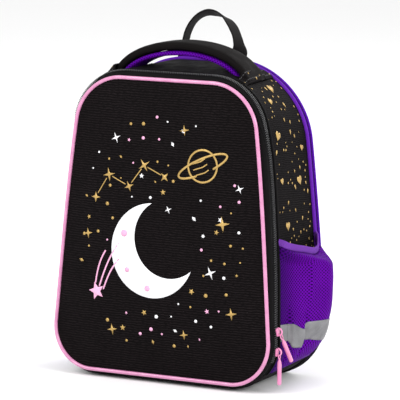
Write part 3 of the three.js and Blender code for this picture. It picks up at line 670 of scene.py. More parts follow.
DARK_MESH = mesh_cloth("indigo_mesh", (0.03, 0.001, 0.14), (0.006, 0.0003, 0.03), (2.4, 2.4), 0.6)
EDGE = band_cloth("purple_edge", (0.06, 0.002, 0.25), (0.11, 0.006, 0.4), 1.2)
BINDING = band_cloth("purple_binding", (0.09, 0.018, 0.22), (0.18, 0.055, 0.37), 1.4)
PURPLE_PIPING = band_cloth("purple_piping", (0.075, 0.008, 0.25), (0.14, 0.02, 0.4), 1.2)
REFLECTOR = reflective("reflector")
WEBBING = band_cloth("webbing", (0.003, 0.0026, 0.0026), (0.013, 0.0115, 0.0115), 2.0)
BUCKLE = satin("buckle", (0.012, 0.012, 0.013), (0.018, 0.018, 0.019), 0.4)
GOLD = foil("gold_print", (0.5, 0.33, 0.1), (0.26, 0.15, 0.04), 0.45, 0.42)
WHITE = foil("white_print", (0.86, 0.86, 0.88), (0.7, 0.7, 0.72), 0.0, 0.6)
ROSE = foil("rose_print", (0.8, 0.4, 0.6), (0.6, 0.26, 0.42), 0.0, 0.55)


# Front: panel, piping and gusset
def dome_share(x, z, size, inset):
    rise = np.clip((z - size["foot"]) / size["height"], 0, 1)
    half = lerp(size["foot_half"], size["top_half"], rise) + SIDE_BOW - inset
    across = np.abs(x) / half
    upward = np.abs(z - size["foot"] - size["height"] / 2) / (size["height"] / 2 - inset)
    return np.clip(1 - across**4 - upward**4, 0, 1)


FRONT_INSET = CORD_RADIUS - 0.1


def front_face(x, z):
    return front_y(z) - FRONT_DOME * dome_share(x, z, PIPING, FRONT_INSET)


def panel_points(stations, end, inset, scale, y_of):
    centre = BACK["height"] / 2
    p = shell(stations, end * depth_at(stations), -inset)
    p[:, 0] *= scale
    p[:, 2] = np.maximum(centre + (p[:, 2] - centre) * scale, 0)
    p[:, 1] = y_of(p[:, 0], p[:, 2])
    return p


def build_front_panel():
    stations = ring_stations(240)
    scales = 1 - np.linspace(0, 1, 41) ** 1.4 * 0.9995
    tuck = lambda x, z: front_y(z) + FRONT_PANEL_WALL * 0.6
    rings = [panel_points(stations, 0, FRONT_INSET, 1, tuck)]
    rings += [panel_points(stations, 0, FRONT_INSET, scale, front_face) for scale in scales]
    inner = lambda x, z: front_face(x, z) + FRONT_PANEL_WALL
    rings = [panel_points(stations, 0, FRONT_INSET, scale, inner) for scale in scales[::-4]] + rings
    points = np.stack(rings)
    uv = points[..., [0, 2]]
    piece = grid("front_panel_cloth", points, FABRIC, closed_across=True, caps=True, uv=uv)
    dress(piece, "shell_fabric", "front_panel")


def cord_round(name, stations, behind, radius, material):
    path = shell(stations, behind)
    outs = shell_out(stations, behind)
    path[:, 2] = np.maximum(path[:, 2], radius + GAP)
    return ribbon(name, path, outs, 2 * radius, 2 * radius, material, 1.0, 16, closed=True)


def black_foot(piece):
    """The base cloth wraps the back edge's foot, so that its faces there are black."""
    piece.data.materials.append(BASE_FABRIC)
    for face in piece.data.polygons:
        if face.center.z < BACK_BLACK_HEIGHT * MM:
            face.material_index = 1


def build_piping():
    stations = ring_stations(420)
    front = cord_round("front_piping_cord", stations, np.zeros(len(stations)), CORD_RADIUS, PINK)
    dress(front, "pink_piping", "front_piping")
    back = cord_round("back_piping_cord", stations, depth_at(stations), PIPING_RADIUS, PURPLE_PIPING)
    dress(back, "purple_piping", "back_piping")
    black_foot(back)


def band(name, stations, starts, ends, columns, material, swell=0.0, closed=False):
    """A stretch of the shell's wall; it may swell between its two edges."""
    share = np.linspace(0, 1, columns + 1)
    behind = lerp(starts[:, None], ends[:, None], share)
    out = swell * np.sin(math.pi * share)[None, :]
    piece = grid(name, shell(stations[:, None], behind, out), material, closed_along=closed, thick=WALL)
    face_out(piece, stations, behind)
    return piece


def face_out(piece, stations, behind):
    """Turns an open wall so that its faces point away from the bag's middle."""
    turn_to(piece.data, shell_out(stations[:1], behind[0, :1])[0])


def build_gusset():
    stations = ring_stations(420)
    start = np.full(len(stations), CORD_RADIUS - 0.1)
    end = tape_front(stations) - GAP
    piece = band("front_gusset_cloth", stations, start, end, 14, BLACK, 0.5, closed=True)
    dress(piece, "base_fabric", "front_gusset")


def build_zipper():
    stations = ring_stations(380, TAPE_START, 2 - TAPE_START)
    middle = zipper_middle(stations)
    sink = 0.9
    slot = COIL_HALF + GAP
    across = np.array([-TAPE_FRONT, -slot - 0.6, -slot + 0.3, 0, slot - 0.3, slot + 0.6, TAPE_BACK])
    drop = np.array([0, 0, -sink, -sink, -sink, 0, 0])
    points = shell(stations[:, None], middle[:, None] + across, drop)
    piece = grid("zipper_tape_cloth", points, TAPE, thick=WALL - sink)
    face_out(piece, stations, middle[:, None] + across)
    dress(piece, "zipper_tape", "zipper_tape")
    build_teeth()


TOOTH_PITCH = 2.5
TOOTH_SECTIONS = ((0.0, 0.75, 0.55), (0.45, 0.8, 0.8), (0.8, 0.45, 0.85), (1.0, -0.35, 0.7))
TOOTH_SIDES = 6


def tooth_part(centre, along, out, reach, sign):
    """One tooth of the coil: it leans from the zipper's middle to one side and dips into the tape."""
    points = []
    for share, lift, size in TOOTH_SECTIONS:
        place = centre + reach * share + out * COIL_HEIGHT * lift * 0.75
        place = place + along * TOOTH_PITCH * (0.55 * (1 - share) + 0.25 * sign)
        for k in range(TOOTH_SIDES):
            angle = TAU * k / TOOTH_SIDES
            round_way = along * math.cos(angle) + out * math.sin(angle) * 0.75
            points.append(place + size * TOOTH_PITCH * 0.3 * round_way)
    return np.array(points), tube_faces(len(TOOTH_SECTIONS), TOOTH_SIDES, sign)


def build_teeth():
    """The coil: two rows of slanting teeth that meet in a V, along the whole zipper."""
    length = run_so_far(shell(ring_stations(900, COIL_START, 2 - COIL_START), ZIPPER_DEPTH))[-1]
    count = int(length / TOOTH_PITCH)
    stations = ring_stations(count, COIL_START, 2 - COIL_START)
    middle = zipper_middle(stations)
    centre = shell(stations, middle, 0.0)
    out = shell_out(stations, middle)
    along = directions(centre)
    back = np.cross(out, along)
    parts = [
        tooth_part(centre[i], along[i], out[i], sign * back[i] * COIL_HALF, sign)
        for i in range(count) for sign in (1, -1)
    ]
    piece = joined("zipper_teeth", parts, TEETH)
    dress(piece, "zipper_teeth", "zipper_coil")


# Sides, top and base
def build_walls():
    half = ring_stations(60, 0, TAPE_START - SEAM_SHARE)[1:]
    stations = np.concatenate([-half[::-1], half])
    piece = band("base_cloth", stations, tape_front(stations), band_back(stations), 10, BASE_FABRIC)
    dress(piece, "base_fabric", "base_panel")
    for name, side in SIDES:
        stations = ring_stations(120, TAPE_START, SEAM - SEAM_SHARE)
        stations = stations if side > 0 else 2 - stations
        starts, ends = tape_back(stations) + GAP, band_back(stations)
        piece = band(f"side_cloth_{name}", stations, starts, ends, 16, SIDE_FABRIC)
        dress(piece, "printed_fabric", f"side_gusset_{name}")
    stations = ring_stations(100, SEAM, 2 - SEAM)
    piece = band("top_cloth", stations, tape_back(stations) + GAP, band_back(stations), 14, BLACK)
    dress(piece, "base_fabric", "top_gusset")


TOP_ARC_LENGTH = math.pi * (FRONT["top_radius"] + BACK["top_radius"]) / 4
STATION_PER_MM = (STATION_ROWS[4] - STATION_ROWS[3]) / TOP_ARC_LENGTH


def strip_lift(run, y):
    """Height of the folded hem over the shell: it rises where it holds the handle's end."""
    share = np.clip(run / STRIP_WIDTH + 0.5, 0, 1)
    sleeve = smoothstep(SLEEVE_REACH - np.abs(y - HANDLE_Y), 0, SLEEVE_EDGE) * lerp(*SLEEVE_RISE, share)
    return STRIP_THICKNESS * 0.7 * (1 - np.abs(2 * share - 1) ** 6) + sleeve + GAP


def build_seam_strips():
    """The printed side's hem over each end of the handle, with two rows of stitches."""
    for name, side in SIDES:
        run = np.linspace(-STRIP_WIDTH / 2, STRIP_WIDTH / 2, 17)
        stations = SEAM + run * STATION_PER_MM
        share = np.linspace(0, 1, 61)
        behind = lerp(tape_back(stations)[:, None] + GAP, band_back(stations)[:, None], share)
        lift = strip_lift(run[:, None], shell(stations[:, None], behind)[..., 1])
        turned_stations = stations if side > 0 else 2 - stations
        points = shell(turned_stations[:, None], behind, lift)
        piece = grid(f"seam_strip_cloth_{name}", points, SIDE_FABRIC, thick=1.2)
        face_out(piece, turned_stations, behind)
        dress(piece, "printed_fabric", f"seam_strip_{name}")
        parts = []
        for place in HEM_STITCHES:
            station = SEAM + place * STRIP_WIDTH * STATION_PER_MM
            depth = lerp(tape_back(station) + 2, band_back(station) - 2, share)
            height = strip_lift(place * STRIP_WIDTH, shell(station, depth)[:, 1])
            line = np.full(len(share), station if side > 0 else 2 - station)
            parts += stitch_row(shell(line, depth, height + 0.1), shell_out(line, depth), radius=0.4)
        dress(joined(f"seam_stitches_{name}", parts, THREAD), "base_fabric")
        build_welt(name, side)


def build_welt(name, side):
    """A plain folded edge between the zipper tape and the printed side."""
    stations = ring_stations(150, TAPE_START, SEAM + STRIP_WIDTH / 2 * STATION_PER_MM)
    across = np.linspace(-1.2, 3.2, 9)
    lift = 1.5 * (1 - np.abs((across - 1) / 2.3) ** 4) + 0.1
    behind = tape_back(stations)[:, None] + across
    stations = stations if side > 0 else 2 - stations
    points = shell(stations[:, None], behind, lift)
    piece = grid(f"zipper_welt_{name}", points, BLACK, thick=0.6)
    face_out(piece, stations, behind)
    dress(piece, "base_fabric")


# Back panel
PAD_ROWS = ((0, 0), (0.12, 0), (0.22, 1), (0.78, 1), (0.9, 0), (1, 0))
PAD_FOOT = (0.19, 0.25)
PAD_TOP = (0.8, 0.86)
PAD_WAIST = 0.5
BACK_EDGE_RUN = 1300.0
BACK_EDGE_ROWS = ((0.1, 0.4), (0.25, 0.9), (0.45, 1.5), (0.65, 1.6), (0.8, 1.1), (0.9, 0.2))


def back_face(x, z):
    dome = BACK_DOME * dome_share(x, z, BACK, BACK_FACE_INSET)
    across = np.clip(np.abs(x) / (BACK["top_half"] - BACK_FACE_INSET), 0, 1)
    pads = smoothstep(straight_table(PAD_ROWS, across), 0, 1)
    rise = np.clip(z / BACK["height"], 0, 1)
    lengthways = smoothstep(rise, *PAD_FOOT) * (1 - smoothstep(rise, *PAD_TOP))
    waist = 1 - 0.8 * (1 - smoothstep(np.abs(rise - PAD_WAIST), 0.015, 0.04))
    return back_y(z) + PIPING_RADIUS + GAP + BACK_PANEL_WALL + dome + BACK_PAD * pads * lengthways * waist


def build_back_panel():
    stations = ring_stations(300)
    inner = PIPING_RADIUS + GAP
    at = lambda share: (lambda x, z: back_y(z) + inner + share * BACK_PANEL_WALL)
    rings = [panel_points(stations, 1, 0, scale, at(0)) for scale in (0.01, 0.5, 1)]
    rings += [panel_points(stations, 1, -out, 1, at(share)) for share, out in BACK_EDGE_ROWS]
    rings += [panel_points(stations, 1, inset, 1, at(0.95 if inset < 6 else 1)) for inset in (4, 7)]
    scales = 0.985 * (1 - np.linspace(0, 0.99, 60))
    rings += [panel_points(stations, 1, BACK_FACE_INSET, scale, back_face) for scale in scales]
    points = np.stack(rings)
    uv = points[..., [0, 2]]
    piece = grid("back_panel_cloth", points, MESH, closed_across=True, caps=True, uv=uv)
    dress(piece, "purple_mesh", "back_panel")
    build_back_edge(stations)


def build_back_edge(stations):
    """A dark band of mesh around the back panel's side, and the bright binding that closes it."""
    along = np.linspace(0, BACK_EDGE_RUN, len(stations))
    for name, low, high, stand, material, slot in (
        ("back_edge_mesh", 0.04, 0.4, 0.35, DARK_MESH, "purple_mesh"),
        ("back_edge_binding", 0.44, 0.9, 1.1, EDGE, "purple_binding"),
    ):
        rings = []
        for share in np.linspace(0, 1, 7):
            depth = lerp(low, high, share)
            out = straight_table(BACK_EDGE_ROWS, depth) + stand * math.sin(math.pi * share) ** 0.6
            y_of = lambda x, z, depth=depth: back_y(z) + PIPING_RADIUS + GAP + depth * BACK_PANEL_WALL
            rings.append(panel_points(stations, 1, -out, 1, y_of))
        points = np.stack(rings)
        across = np.linspace(low, high, 7) * BACK_PANEL_WALL
        uv = np.stack(np.broadcast_arrays(along[None, :], across[:, None]), -1)
        piece = grid(name, points, material, closed_across=True, uv=uv, thick=0.6)
        turn_to(piece.data, (0, 0, -1))
        dress(piece, slot)
        black_foot(piece)


# Side pockets
BULGE_ROWS = (
    (0, 0), (0.04, 0.1), (0.12, 0.3), (0.23, 0.54), (0.36, 0.74), (0.49, 0.88),
    (0.66, 0.96), (0.8, 1), (0.9, 0.97), (0.96, 0.84), (1, 0.44),
)
RIM_ROWS = (
    (0, 0), (0.06, 0.2), (0.2, 0.46), (0.39, 0.68), (0.55, 0.88), (0.75, 1), (0.9, 0.8),
    (0.96, 0.5), (1, 0),
)


def pocket_rim(across):
    return POCKET_RIM_HEIGHT - POCKET_RIM_SAG * smooth_table(RIM_ROWS, across)


def pleat_column(across):
    return smoothstep(across, 0.165, 0.205) * (1 - smoothstep(across, 0.36, 0.425))


# Upright creases: height, place and half width across, the rises where each comes up and where it fades
CREASES = (
    (2.4, 0.47, 0.02, (0.5, 0.66), (0.86, 0.97)),
    (-2.2, 0.6, 0.06, (0.45, 0.7), (0.85, 0.97)),
    (-2.0, 0.83, 0.022, (0.45, 0.65), (0.93, 1)),
)
PLEAT_HEIGHT = 4.2
PLEAT_VALLEYS = ((3.4, 0.165, 0.018), (2.0, 0.425, 0.025))
LAP_DEPTH = 2.6


def pocket_folds(across, rise):
    """Folds of the cloth, in millimetres: a pleat and a slanting lap from the foot, and upright creases."""
    low = 1 - smoothstep(rise, 0.4, 0.62)
    valleys = sum(depth * bell(across, place, width) for depth, place, width in PLEAT_VALLEYS)
    creases = sum(
        height * bell(across, place, width) * smoothstep(rise, *start) * (1 - smoothstep(rise, *end))
        for height, place, width, start, end in CREASES
    )
    lap = bell(rise, 0.02 + 0.42 * across, 0.03) * smoothstep(across, 0.3, 0.42)
    slant = LAP_DEPTH * lap * (1 - smoothstep(across, 0.62, 0.85))
    return (PLEAT_HEIGHT * pleat_column(across) - valleys) * low + creases - slant


def pocket_point(side, across, rise, out):
    across, rise, out = np.broadcast_arrays(*(np.asarray(v, float) for v in (across, rise, out)))
    height = lerp(POCKET_FOOT_HEIGHT, pocket_rim(across), rise)
    station = station_at_height(np.minimum(height, POCKET_RIM_HEIGHT))
    behind = lerp(tape_back(station) + GAP, band_back(station), across)
    full = np.maximum(np.sin(math.pi * across**2.2), 0)
    full = full ** lerp(1, 0.55, smoothstep(across, 0.7, 0.86) * smoothstep(rise, 0.4, 0.8))
    held = np.abs(np.sin(math.pi * across)) ** 0.55
    shape = lerp(full, held, smoothstep(rise, 0.88, 1))
    bulge = POCKET_BULGE * smooth_table(BULGE_ROWS, rise) * shape
    folds = pocket_folds(across, rise) * np.clip(bulge / 2, 0, 1)
    bulge = np.maximum(bulge + folds, 0)
    tucked = lerp(0.3, 1, smoothstep(across, 0, 0.05))
    return shell(station if side > 0 else 2 - station, behind, bulge + (POCKET_SEAM_GAP + out) * tucked)


def build_pockets():
    across = np.linspace(0, 1, 91)
    rise = np.linspace(0, 1, 101)
    for name, side in SIDES:
        points = pocket_point(side, across[None, :], rise[:, None], POCKET_WALL)
        width, height = POCKET_WEAVE
        uv = np.stack(np.broadcast_arrays(across[None, :] * width, rise[:, None] * height), -1)
        piece = grid(f"pocket_cloth_{name}", points, POCKET_MESH, uv=uv, thick=POCKET_WALL * 0.8)
        turn_to(piece.data, (side, 0, 0), len(piece.data.polygons) // 2)
        dress(piece, "purple_mesh", f"side_pocket_{name}")
        build_binding(name, side)
        build_reflector(name, side)


def build_binding(name, side):
    """Folded elastic over the rim, with a row of stitches along its lower edge."""
    across = np.linspace(0, 1, 81)
    rim = pocket_point(side, across, 1.0, POCKET_WALL / 2)
    path = rim + np.array([0, 0, GAP + BINDING_HEIGHT / 2])
    along = np.gradient(path, axis=0)
    up = np.array([0, 0, 1.0]) - along * (along[:, 2:3] / (along**2).sum(1, keepdims=True))
    thickness = BINDING_THICKNESS * lerp(0.4, 1, smoothstep(across, 0, 0.04))
    piece = ribbon(f"pocket_binding_cloth_{name}", path, up, BINDING_HEIGHT, thickness, BINDING, 0.55, 20)
    dress(piece, "purple_binding", f"pocket_binding_{name}")
    line = pocket_point(side, across[2:-2], 1.0, (POCKET_WALL + BINDING_THICKNESS) / 2)
    line = line + np.array([0, 0, 1.6])
    outs = shell_out(station_at_height(line[:, 2]), 60.0) * np.array([side, 1, 1])
    parts = stitch_row(line, outs, 2.4, 0.8, 0.25)
    dress(joined(f"binding_stitches_{name}", parts, BINDING), "purple_binding")


def reflector_points(side, across, up, out):
    height = REFLECTOR_FOOT_HEIGHT - REFLECTOR_FALL * across + REFLECTOR_WIDTH * up
    dip = smoothstep(across, 0.17, 0.37) * (1 - smoothstep(across, 0.385, 0.45))
    height = height - 7.5 * lerp(pleat_column(across), dip, up)
    rise = (height - POCKET_FOOT_HEIGHT) / (pocket_rim(across) - POCKET_FOOT_HEIGHT)
    return pocket_point(side, across, rise, out)


def build_reflector(name, side):
    across = np.linspace(0.012, 0.988, 90)
    up = np.linspace(0, 1, 13)
    points = reflector_points(side, across[None, :], up[:, None], POCKET_WALL + 0.7)
    piece = grid(f"reflector_tape_{name}", points, REFLECTOR, thick=0.5)
    turn_to(piece.data, (side, 0, 0), len(piece.data.polygons) // 2)
    dress(piece, "reflector", f"pocket_reflector_{name}")


# Handle and loop
HANDLE_HALF_SPAN = 94.5
HANDLE_TOP = 400.5
HANDLE_FOOT = 347.0
HANDLE_WIDTH = 38.0
HANDLE_FULLNESS = 0.9
HANDLE_FLARE = 0.22
HANDLE_THICKNESS = 10.8
HANDLE_Y = 4.0
LINING_THICKNESS = 6.0


def handle_arch(angle):
    rise = np.sign(np.sin(angle)) * np.abs(np.sin(angle)) ** HANDLE_FULLNESS
    x, y = HANDLE_HALF_SPAN * np.cos(angle), np.full_like(angle, HANDLE_Y)
    return np.stack([x, y, lerp(HANDLE_FOOT, HANDLE_TOP, rise)], -1)


def handle_layer(name, lining, material, start, squareness):
    share = np.linspace(start, 1 - start, 121)
    ends = np.abs(2 * share - 1) ** 9
    pad = HANDLE_THICKNESS * (1 - 0.55 * ends)
    thickness = LINING_THICKNESS * (1 - 0.35 * ends) if lining else pad
    under = pad + GAP if lining else 0 * pad
    angle = share * math.pi
    along = unit(handle_arch(angle + 0.01) - handle_arch(angle - 0.01))
    inward = np.stack([-along[:, 2], np.zeros(len(share)), along[:, 0]], -1)
    path = handle_arch(angle) + inward * (under + thickness / 2)[:, None]
    width = HANDLE_WIDTH * (1 + HANDLE_FLARE * np.abs(2 * share - 1) ** 6)
    return ribbon(name, path, (0, 1, 0), width, thickness, material, squareness, 28)


def build_handle():
    piece = handle_layer("handle_pad", False, SOFT_BLACK, 0.05, 0.5)
    dress(piece, "base_fabric", "carry_handle")
    lining = handle_layer("handle_mesh", True, MESH, 0.014, 0.45)
    dress(lining, "purple_mesh", "handle_lining")


LOOP_HALF_SPAN = 37.5
LOOP_CENTRE_X = -4.5
LOOP_TOP = 428.0
LOOP_WIDTH = 19.0
LOOP_THICKNESS = 2.0
LOOP_FULLNESS = 0.86
LOOP_TWIST = (
    (0, 90), (0.04, 40), (0.08, 8), (0.13, 3), (0.22, 0), (0.3, -5), (0.4, -16), (0.5, -28), (0.57, -26),
    (0.64, -19), (0.7, -6), (0.78, 2), (0.88, 5), (0.94, 20), (1, 90),
)
YOKE_HEIGHT = 28.0
YOKE_HALF_WIDTH = 80.0
YOKE_TOP_DROP = 22.0
YOKE_THICKNESS = 5.0


def build_loop():
    foot = BODY_HEIGHT - YOKE_TOP_DROP + GAP
    spring = BODY_HEIGHT + 4
    y = float(back_face(np.float64(0), np.float64(foot))) + 2 * GAP + LOOP_THICKNESS / 2
    leg = np.linspace(foot, spring, 8)[:-1]
    angle = math.pi * (1 - np.linspace(0, 1, 90))
    x = np.concatenate([
        np.full(7, -LOOP_HALF_SPAN), LOOP_HALF_SPAN * np.cos(angle), np.full(7, LOOP_HALF_SPAN),
    ]) + LOOP_CENTRE_X
    arch = lerp(spring, LOOP_TOP, np.abs(np.sin(angle)) ** LOOP_FULLNESS)
    z = np.concatenate([leg, arch, leg[::-1]])
    path = np.stack([x, np.full_like(x, y), z], -1)
    share = np.concatenate([np.zeros(7), np.linspace(0, 1, 90), np.ones(7)])
    turn = np.radians(smooth_table(LOOP_TWIST, share))
    along = directions(path)
    outward_ways = np.stack([-along[:, 2], np.zeros(len(x)), along[:, 0]], -1)
    wide = outward_ways * np.sin(turn)[:, None] + np.array([0, 1, 0]) * np.cos(turn)[:, None]
    piece = ribbon("hang_loop_webbing", path, wide, LOOP_WIDTH, LOOP_THICKNESS, WEBBING, 0.3, 20)
    dress(piece, "webbing", "hang_loop")


# Front print and gold spots
PRINT_THICKNESS = 0.2


def decal(name, shapes, place, material, lift=0.14):
    """Flat shapes laid on a surface: each is a list of loops, cut fine enough to follow it."""
    points, faces = [], []
    start = 0
    for loops in shapes:
        flat = [Vector((x, y, 0)) for loop in loops for x, y in loop]
        triangles = tessellate_polygon([[Vector((x, y, 0)) for x, y in loop] for loop in loops])
        points += [(v.x, v.y) for v in flat]
        faces += [[start + k for k in triangle] for triangle in triangles]
        start += len(flat)
    mesh = bpy.data.meshes.new(name)
    mesh.from_pydata([(x, y, 0) for x, y in points], [], faces)
    refine(mesh, 7.0)
    co = np.empty(len(mesh.vertices) * 3, np.float32)
    mesh.vertices.foreach_get("co", co)
    co = co.reshape(-1, 3).astype(float)
    layer = mesh.uv_layers.new(name="cloth")
    corner = np.empty(len(mesh.loops), np.int32)
    mesh.loops.foreach_get("vertex_index", corner)
    layer.data.foreach_set("uv", co[corner, :2].astype(np.float32).ravel())
    placed, outs = place(co[:, 0], co[:, 1])
    placed = (placed + outs * (lift + PRINT_THICKNESS)) * MM
    mesh.vertices.foreach_set("co", placed.astype(np.float32).ravel())
    mesh.update()
    turn_to(mesh, outs[mesh.polygons[0].vertices[0]])
    piece = new_object(name, mesh, material)
    solidify(piece, PRINT_THICKNESS)
    dress(piece, "printed_fabric")


def refine(mesh, longest):
    work = bmesh.new()
    work.from_mesh(mesh)
    for _ in range(4):
        long_edges = [e for e in work.edges if e.calc_length() > longest]
        if not long_edges:
            break
        bmesh.ops.subdivide_edges(work, edges=long_edges, cuts=1)
        bmesh.ops.triangulate(work, faces=work.faces[:])
    bmesh.ops.recalc_face_normals(work, faces=work.faces[:])
    work.to_mesh(mesh)
    work.free()


def turned(loop, angle, x, y):
    c, s = math.cos(angle), math.sin(angle)
    return [(x + c * a - s * b, y + s * a + c * b) for a, b in loop]


def star(points, outer, inner):
    loop = []
    for k in range(2 * points):
        radius, angle = (outer, inner)[k % 2], TAU * k / (2 * points)
        loop.append((radius * math.sin(angle), radius * math.cos(angle)))
    return loop


def disc(radius, sides=20):
    return [(radius * math.cos(TAU * k / sides), radius * math.sin(TAU * k / sides)) for k in range(sides)]


def ellipse(a, b, sides=48, start=0.0, end=1.0):
    return [(a * math.cos(TAU * t), b * math.sin(TAU * t)) for t in np.linspace(start, end, sides)]


def stroke(path, width):
    """A line of even width with round ends, as one closed loop."""
    path = np.array(path, float)
    along = directions(path)
    side = np.stack([-along[:, 1], along[:, 0]], -1) * width / 2
    caps = []
    for centre, way in ((path[-1], along[-1]), (path[0], -along[0])):
        base = math.atan2(way[1], way[0])
        caps.append([
            (centre[0] + width / 2 * math.cos(base + t), centre[1] + width / 2 * math.sin(base + t))
            for t in np.linspace(math.pi / 2, -math.pi / 2, 6)[1:-1]
        ])
    return [tuple(p) for p in path + side] + caps[0] + [tuple(p) for p in (path - side)[::-1]] + caps[1]


def front_place(x, z):
    y = front_face(x, z)
    step = 0.5
    slope_x = (front_face(x + step, z) - front_face(x - step, z)) / (2 * step)
    slope_z = (front_face(x, z + step) - front_face(x, z - step)) / (2 * step)
    out = np.stack([slope_x, -np.ones_like(x), slope_z], -1)
    return np.stack([x, y, z], -1), unit(out)


def crescent(radius, bite, shift):
    """A moon: the outer arc and the arc that a second circle bites out of it."""
    reach = math.acos((radius**2 + shift**2 - bite**2) / (2 * radius * shift))
    inner = math.acos((bite**2 + shift**2 - radius**2) / (2 * bite * shift))
    outer = [(radius * math.cos(t), radius * math.sin(t)) for t in np.linspace(reach, TAU - reach, 72)]
    hollow = [
        (shift + bite * math.cos(t), bite * math.sin(t))
        for t in np.linspace(math.pi + inner, math.pi - inner, 48)[1:-1]
    ]
    return outer + hollow


def build_print():
    """A night sky of plain motifs: a moon, a ringed planet, a comet, sparkles and dots."""
    draw = random.Random(11)
    gold, white, rose = [], [], []
    white.append([turned(crescent(56, 47, 27), 0.62, -8, 158)])
    pits = ((-47, 176, 4.2), (-42, 133, 3.0), (-14, 113, 3.6))
    craters = [[turned(disc(size), 0, x, z)] for x, z, size in pits]
    planet = (56, 262)
    gold.append([turned(disc(20, 48), 0, *planet), turned(disc(17.8, 48), 0, *planet)])
    tilt = 0.42
    ring = ellipse(34, 8.5, 60, -0.19, 0.69)
    gold.append([turned(stroke(ring, 2.4), tilt, *planet)])
    for rise in (-7, 0, 7):
        reach = 0.72 * math.sqrt(max(17**2 - rise**2, 1))
        cloud = [(-reach, rise), (0, rise - 1.2), (reach * 0.5, rise)]
        gold.append([turned(stroke(cloud, 1.4), tilt, *planet)])
    comet = (-84, 104)
    rose.append([turned(star(5, 11, 5), 0.3, *comet)])
    for k, reach in enumerate((44, 58, 40)):
        tail = [
            (8 + t * reach, (k - 1) * 6.5 + 5 * math.sin(t * 2.2) + t * (k - 1) * 4)
            for t in np.linspace(0, 1, 14)
        ]
        rose.append([turned(stroke(tail, 1.9), 1.05, *comet)])
    joined_stars = ((-88, 216), (-70, 244), (-42, 232), (-22, 258), (6, 246))
    for a, b in zip(joined_stars, joined_stars[1:]):
        ends = np.array([a, b], float)
        gold.append([stroke(ends + np.array([[0.18], [-0.18]]) * (ends[1] - ends[0]), 1.1)])
    for k, (x, z) in enumerate(joined_stars):
        gold.append([turned(star(4, 8.5 if k % 2 else 6.5, 2.1), 0.2 * k, x, z)])
    sparkles = ((84, 196, 9.5), (-98, 172, 6.5), (98, 92, 7.5), (30, 302, 6.5), (-62, 60, 7.0), (36, 62, 6.0))
    for x, z, size in sparkles:
        gold.append([turned(star(4, size, size * 0.27), 0.15, x, z)])
    for x, z, size in ((70, 138, 8.0), (-62, 288, 6.5), (104, 238, 5.5), (12, 208, 5.0)):
        white.append([turned(star(4, size, size * 0.24), 0.4, x, z)])
    taken = [(-8, 158, 62), (*planet, 40), (-66, 122, 42), *((x, z, 12) for x, z in joined_stars)]
    for _ in range(900):
        x, z = draw.uniform(-112, 112), draw.uniform(44, 318)
        off_centre = math.hypot(x / 112, (z - 178) / 142)
        if off_centre > 1 or any(math.hypot(x - a, z - b) < c for a, b, c in taken):
            continue
        taken.append((x, z, 15))
        size = draw.uniform(1.0, 2.4)
        dot, diamond = disc(size, 12), star(2, size * 1.5, size * 0.9)
        shape = draw.choice([dot, dot, diamond, star(5, size * 1.8, size * 0.8)])
        draw.choice([gold, gold, gold, white, rose]).append([turned(shape, draw.uniform(0, 1.5), x, z)])
    decal("print_gold", gold, front_place, GOLD)
    decal("print_white", white, front_place, WHITE)
    decal("print_rose", rose, front_place, ROSE)
    decal("print_craters", craters, front_place, ROSE, lift=0.4)


def heart(size):
    loop = []
    for t in np.linspace(0, TAU, 26)[:-1]:
        x = 16 * math.sin(t) ** 3
        y = 13 * math.cos(t) - 5 * math.cos(2 * t) - 2 * math.cos(3 * t) - math.cos(4 * t)
        loop.append((x * size / 16, y * size / 16))
    return loop


SPOT_GAP = 2.2


def spot(kind, draw):
    """One gold spot: a heart, a drop or a speck."""
    if kind == "heart":
        return [(a, 1.2 * b) for a, b in heart(draw.uniform(3.4, 5.8))]
    if kind == "drop":
        size = draw.uniform(1.5, 2.7)
        wide, tall = 0.8 * size, 1.25 * size
        turns = np.linspace(0, TAU, 17)[:-1]
        return [(wide * math.sin(t) * math.sin(t / 2) ** 1.4, -tall * math.cos(t)) for t in turns]
    size = draw.uniform(0.6, 1.35)
    return [(0.85 * a, 1.2 * b) for a, b in disc(size, 9)]


def build_side_spots():
    """Gold hearts, drops and specks scattered over each printed side."""
    dense = np.linspace(TAPE_START, SEAM + STRIP_WIDTH / 2 * STATION_PER_MM, 3000)
    run = run_so_far(shell(dense, depth_at(dense) / 2))
    for name, side in SIDES:
        draw = random.Random(5 if side > 0 else 6)
        shapes, taken = [], []
        for kind, count, reach in (("heart", 13, 6.5), ("drop", 34, 3.4), ("speck", 130, 1.3)):
            for _ in range(40 * count):
                if count == 0:
                    break
                up = draw.uniform(2 + reach, run[-1] - 2 - reach)
                station = float(np.interp(up, run, dense))
                low, high = float(tape_back(station)) + 1.5 + reach, float(band_back(station)) - 1 - reach
                across = draw.uniform(low, high)
                if any(math.hypot(up - a, across - b) < reach + c + SPOT_GAP for a, b, c in taken):
                    continue
                taken.append((up, across, reach))
                count -= 1
                shapes.append([turned(spot(kind, draw), draw.uniform(-0.4, 0.4), across, up)])

        def place(across, up):
            station = np.interp(up, run, dense)
            over_seam = (station - SEAM) / STATION_PER_MM
            hem = strip_lift(over_seam, shell(station, across)[:, 1])
            lift = np.where(np.abs(over_seam) < STRIP_WIDTH / 2, hem, 0)
            station = station if side > 0 else 2 - station
            return shell(station, across, lift), shell_out(station, across)

        decal(f"side_spots_{name}", shapes, place, GOLD)


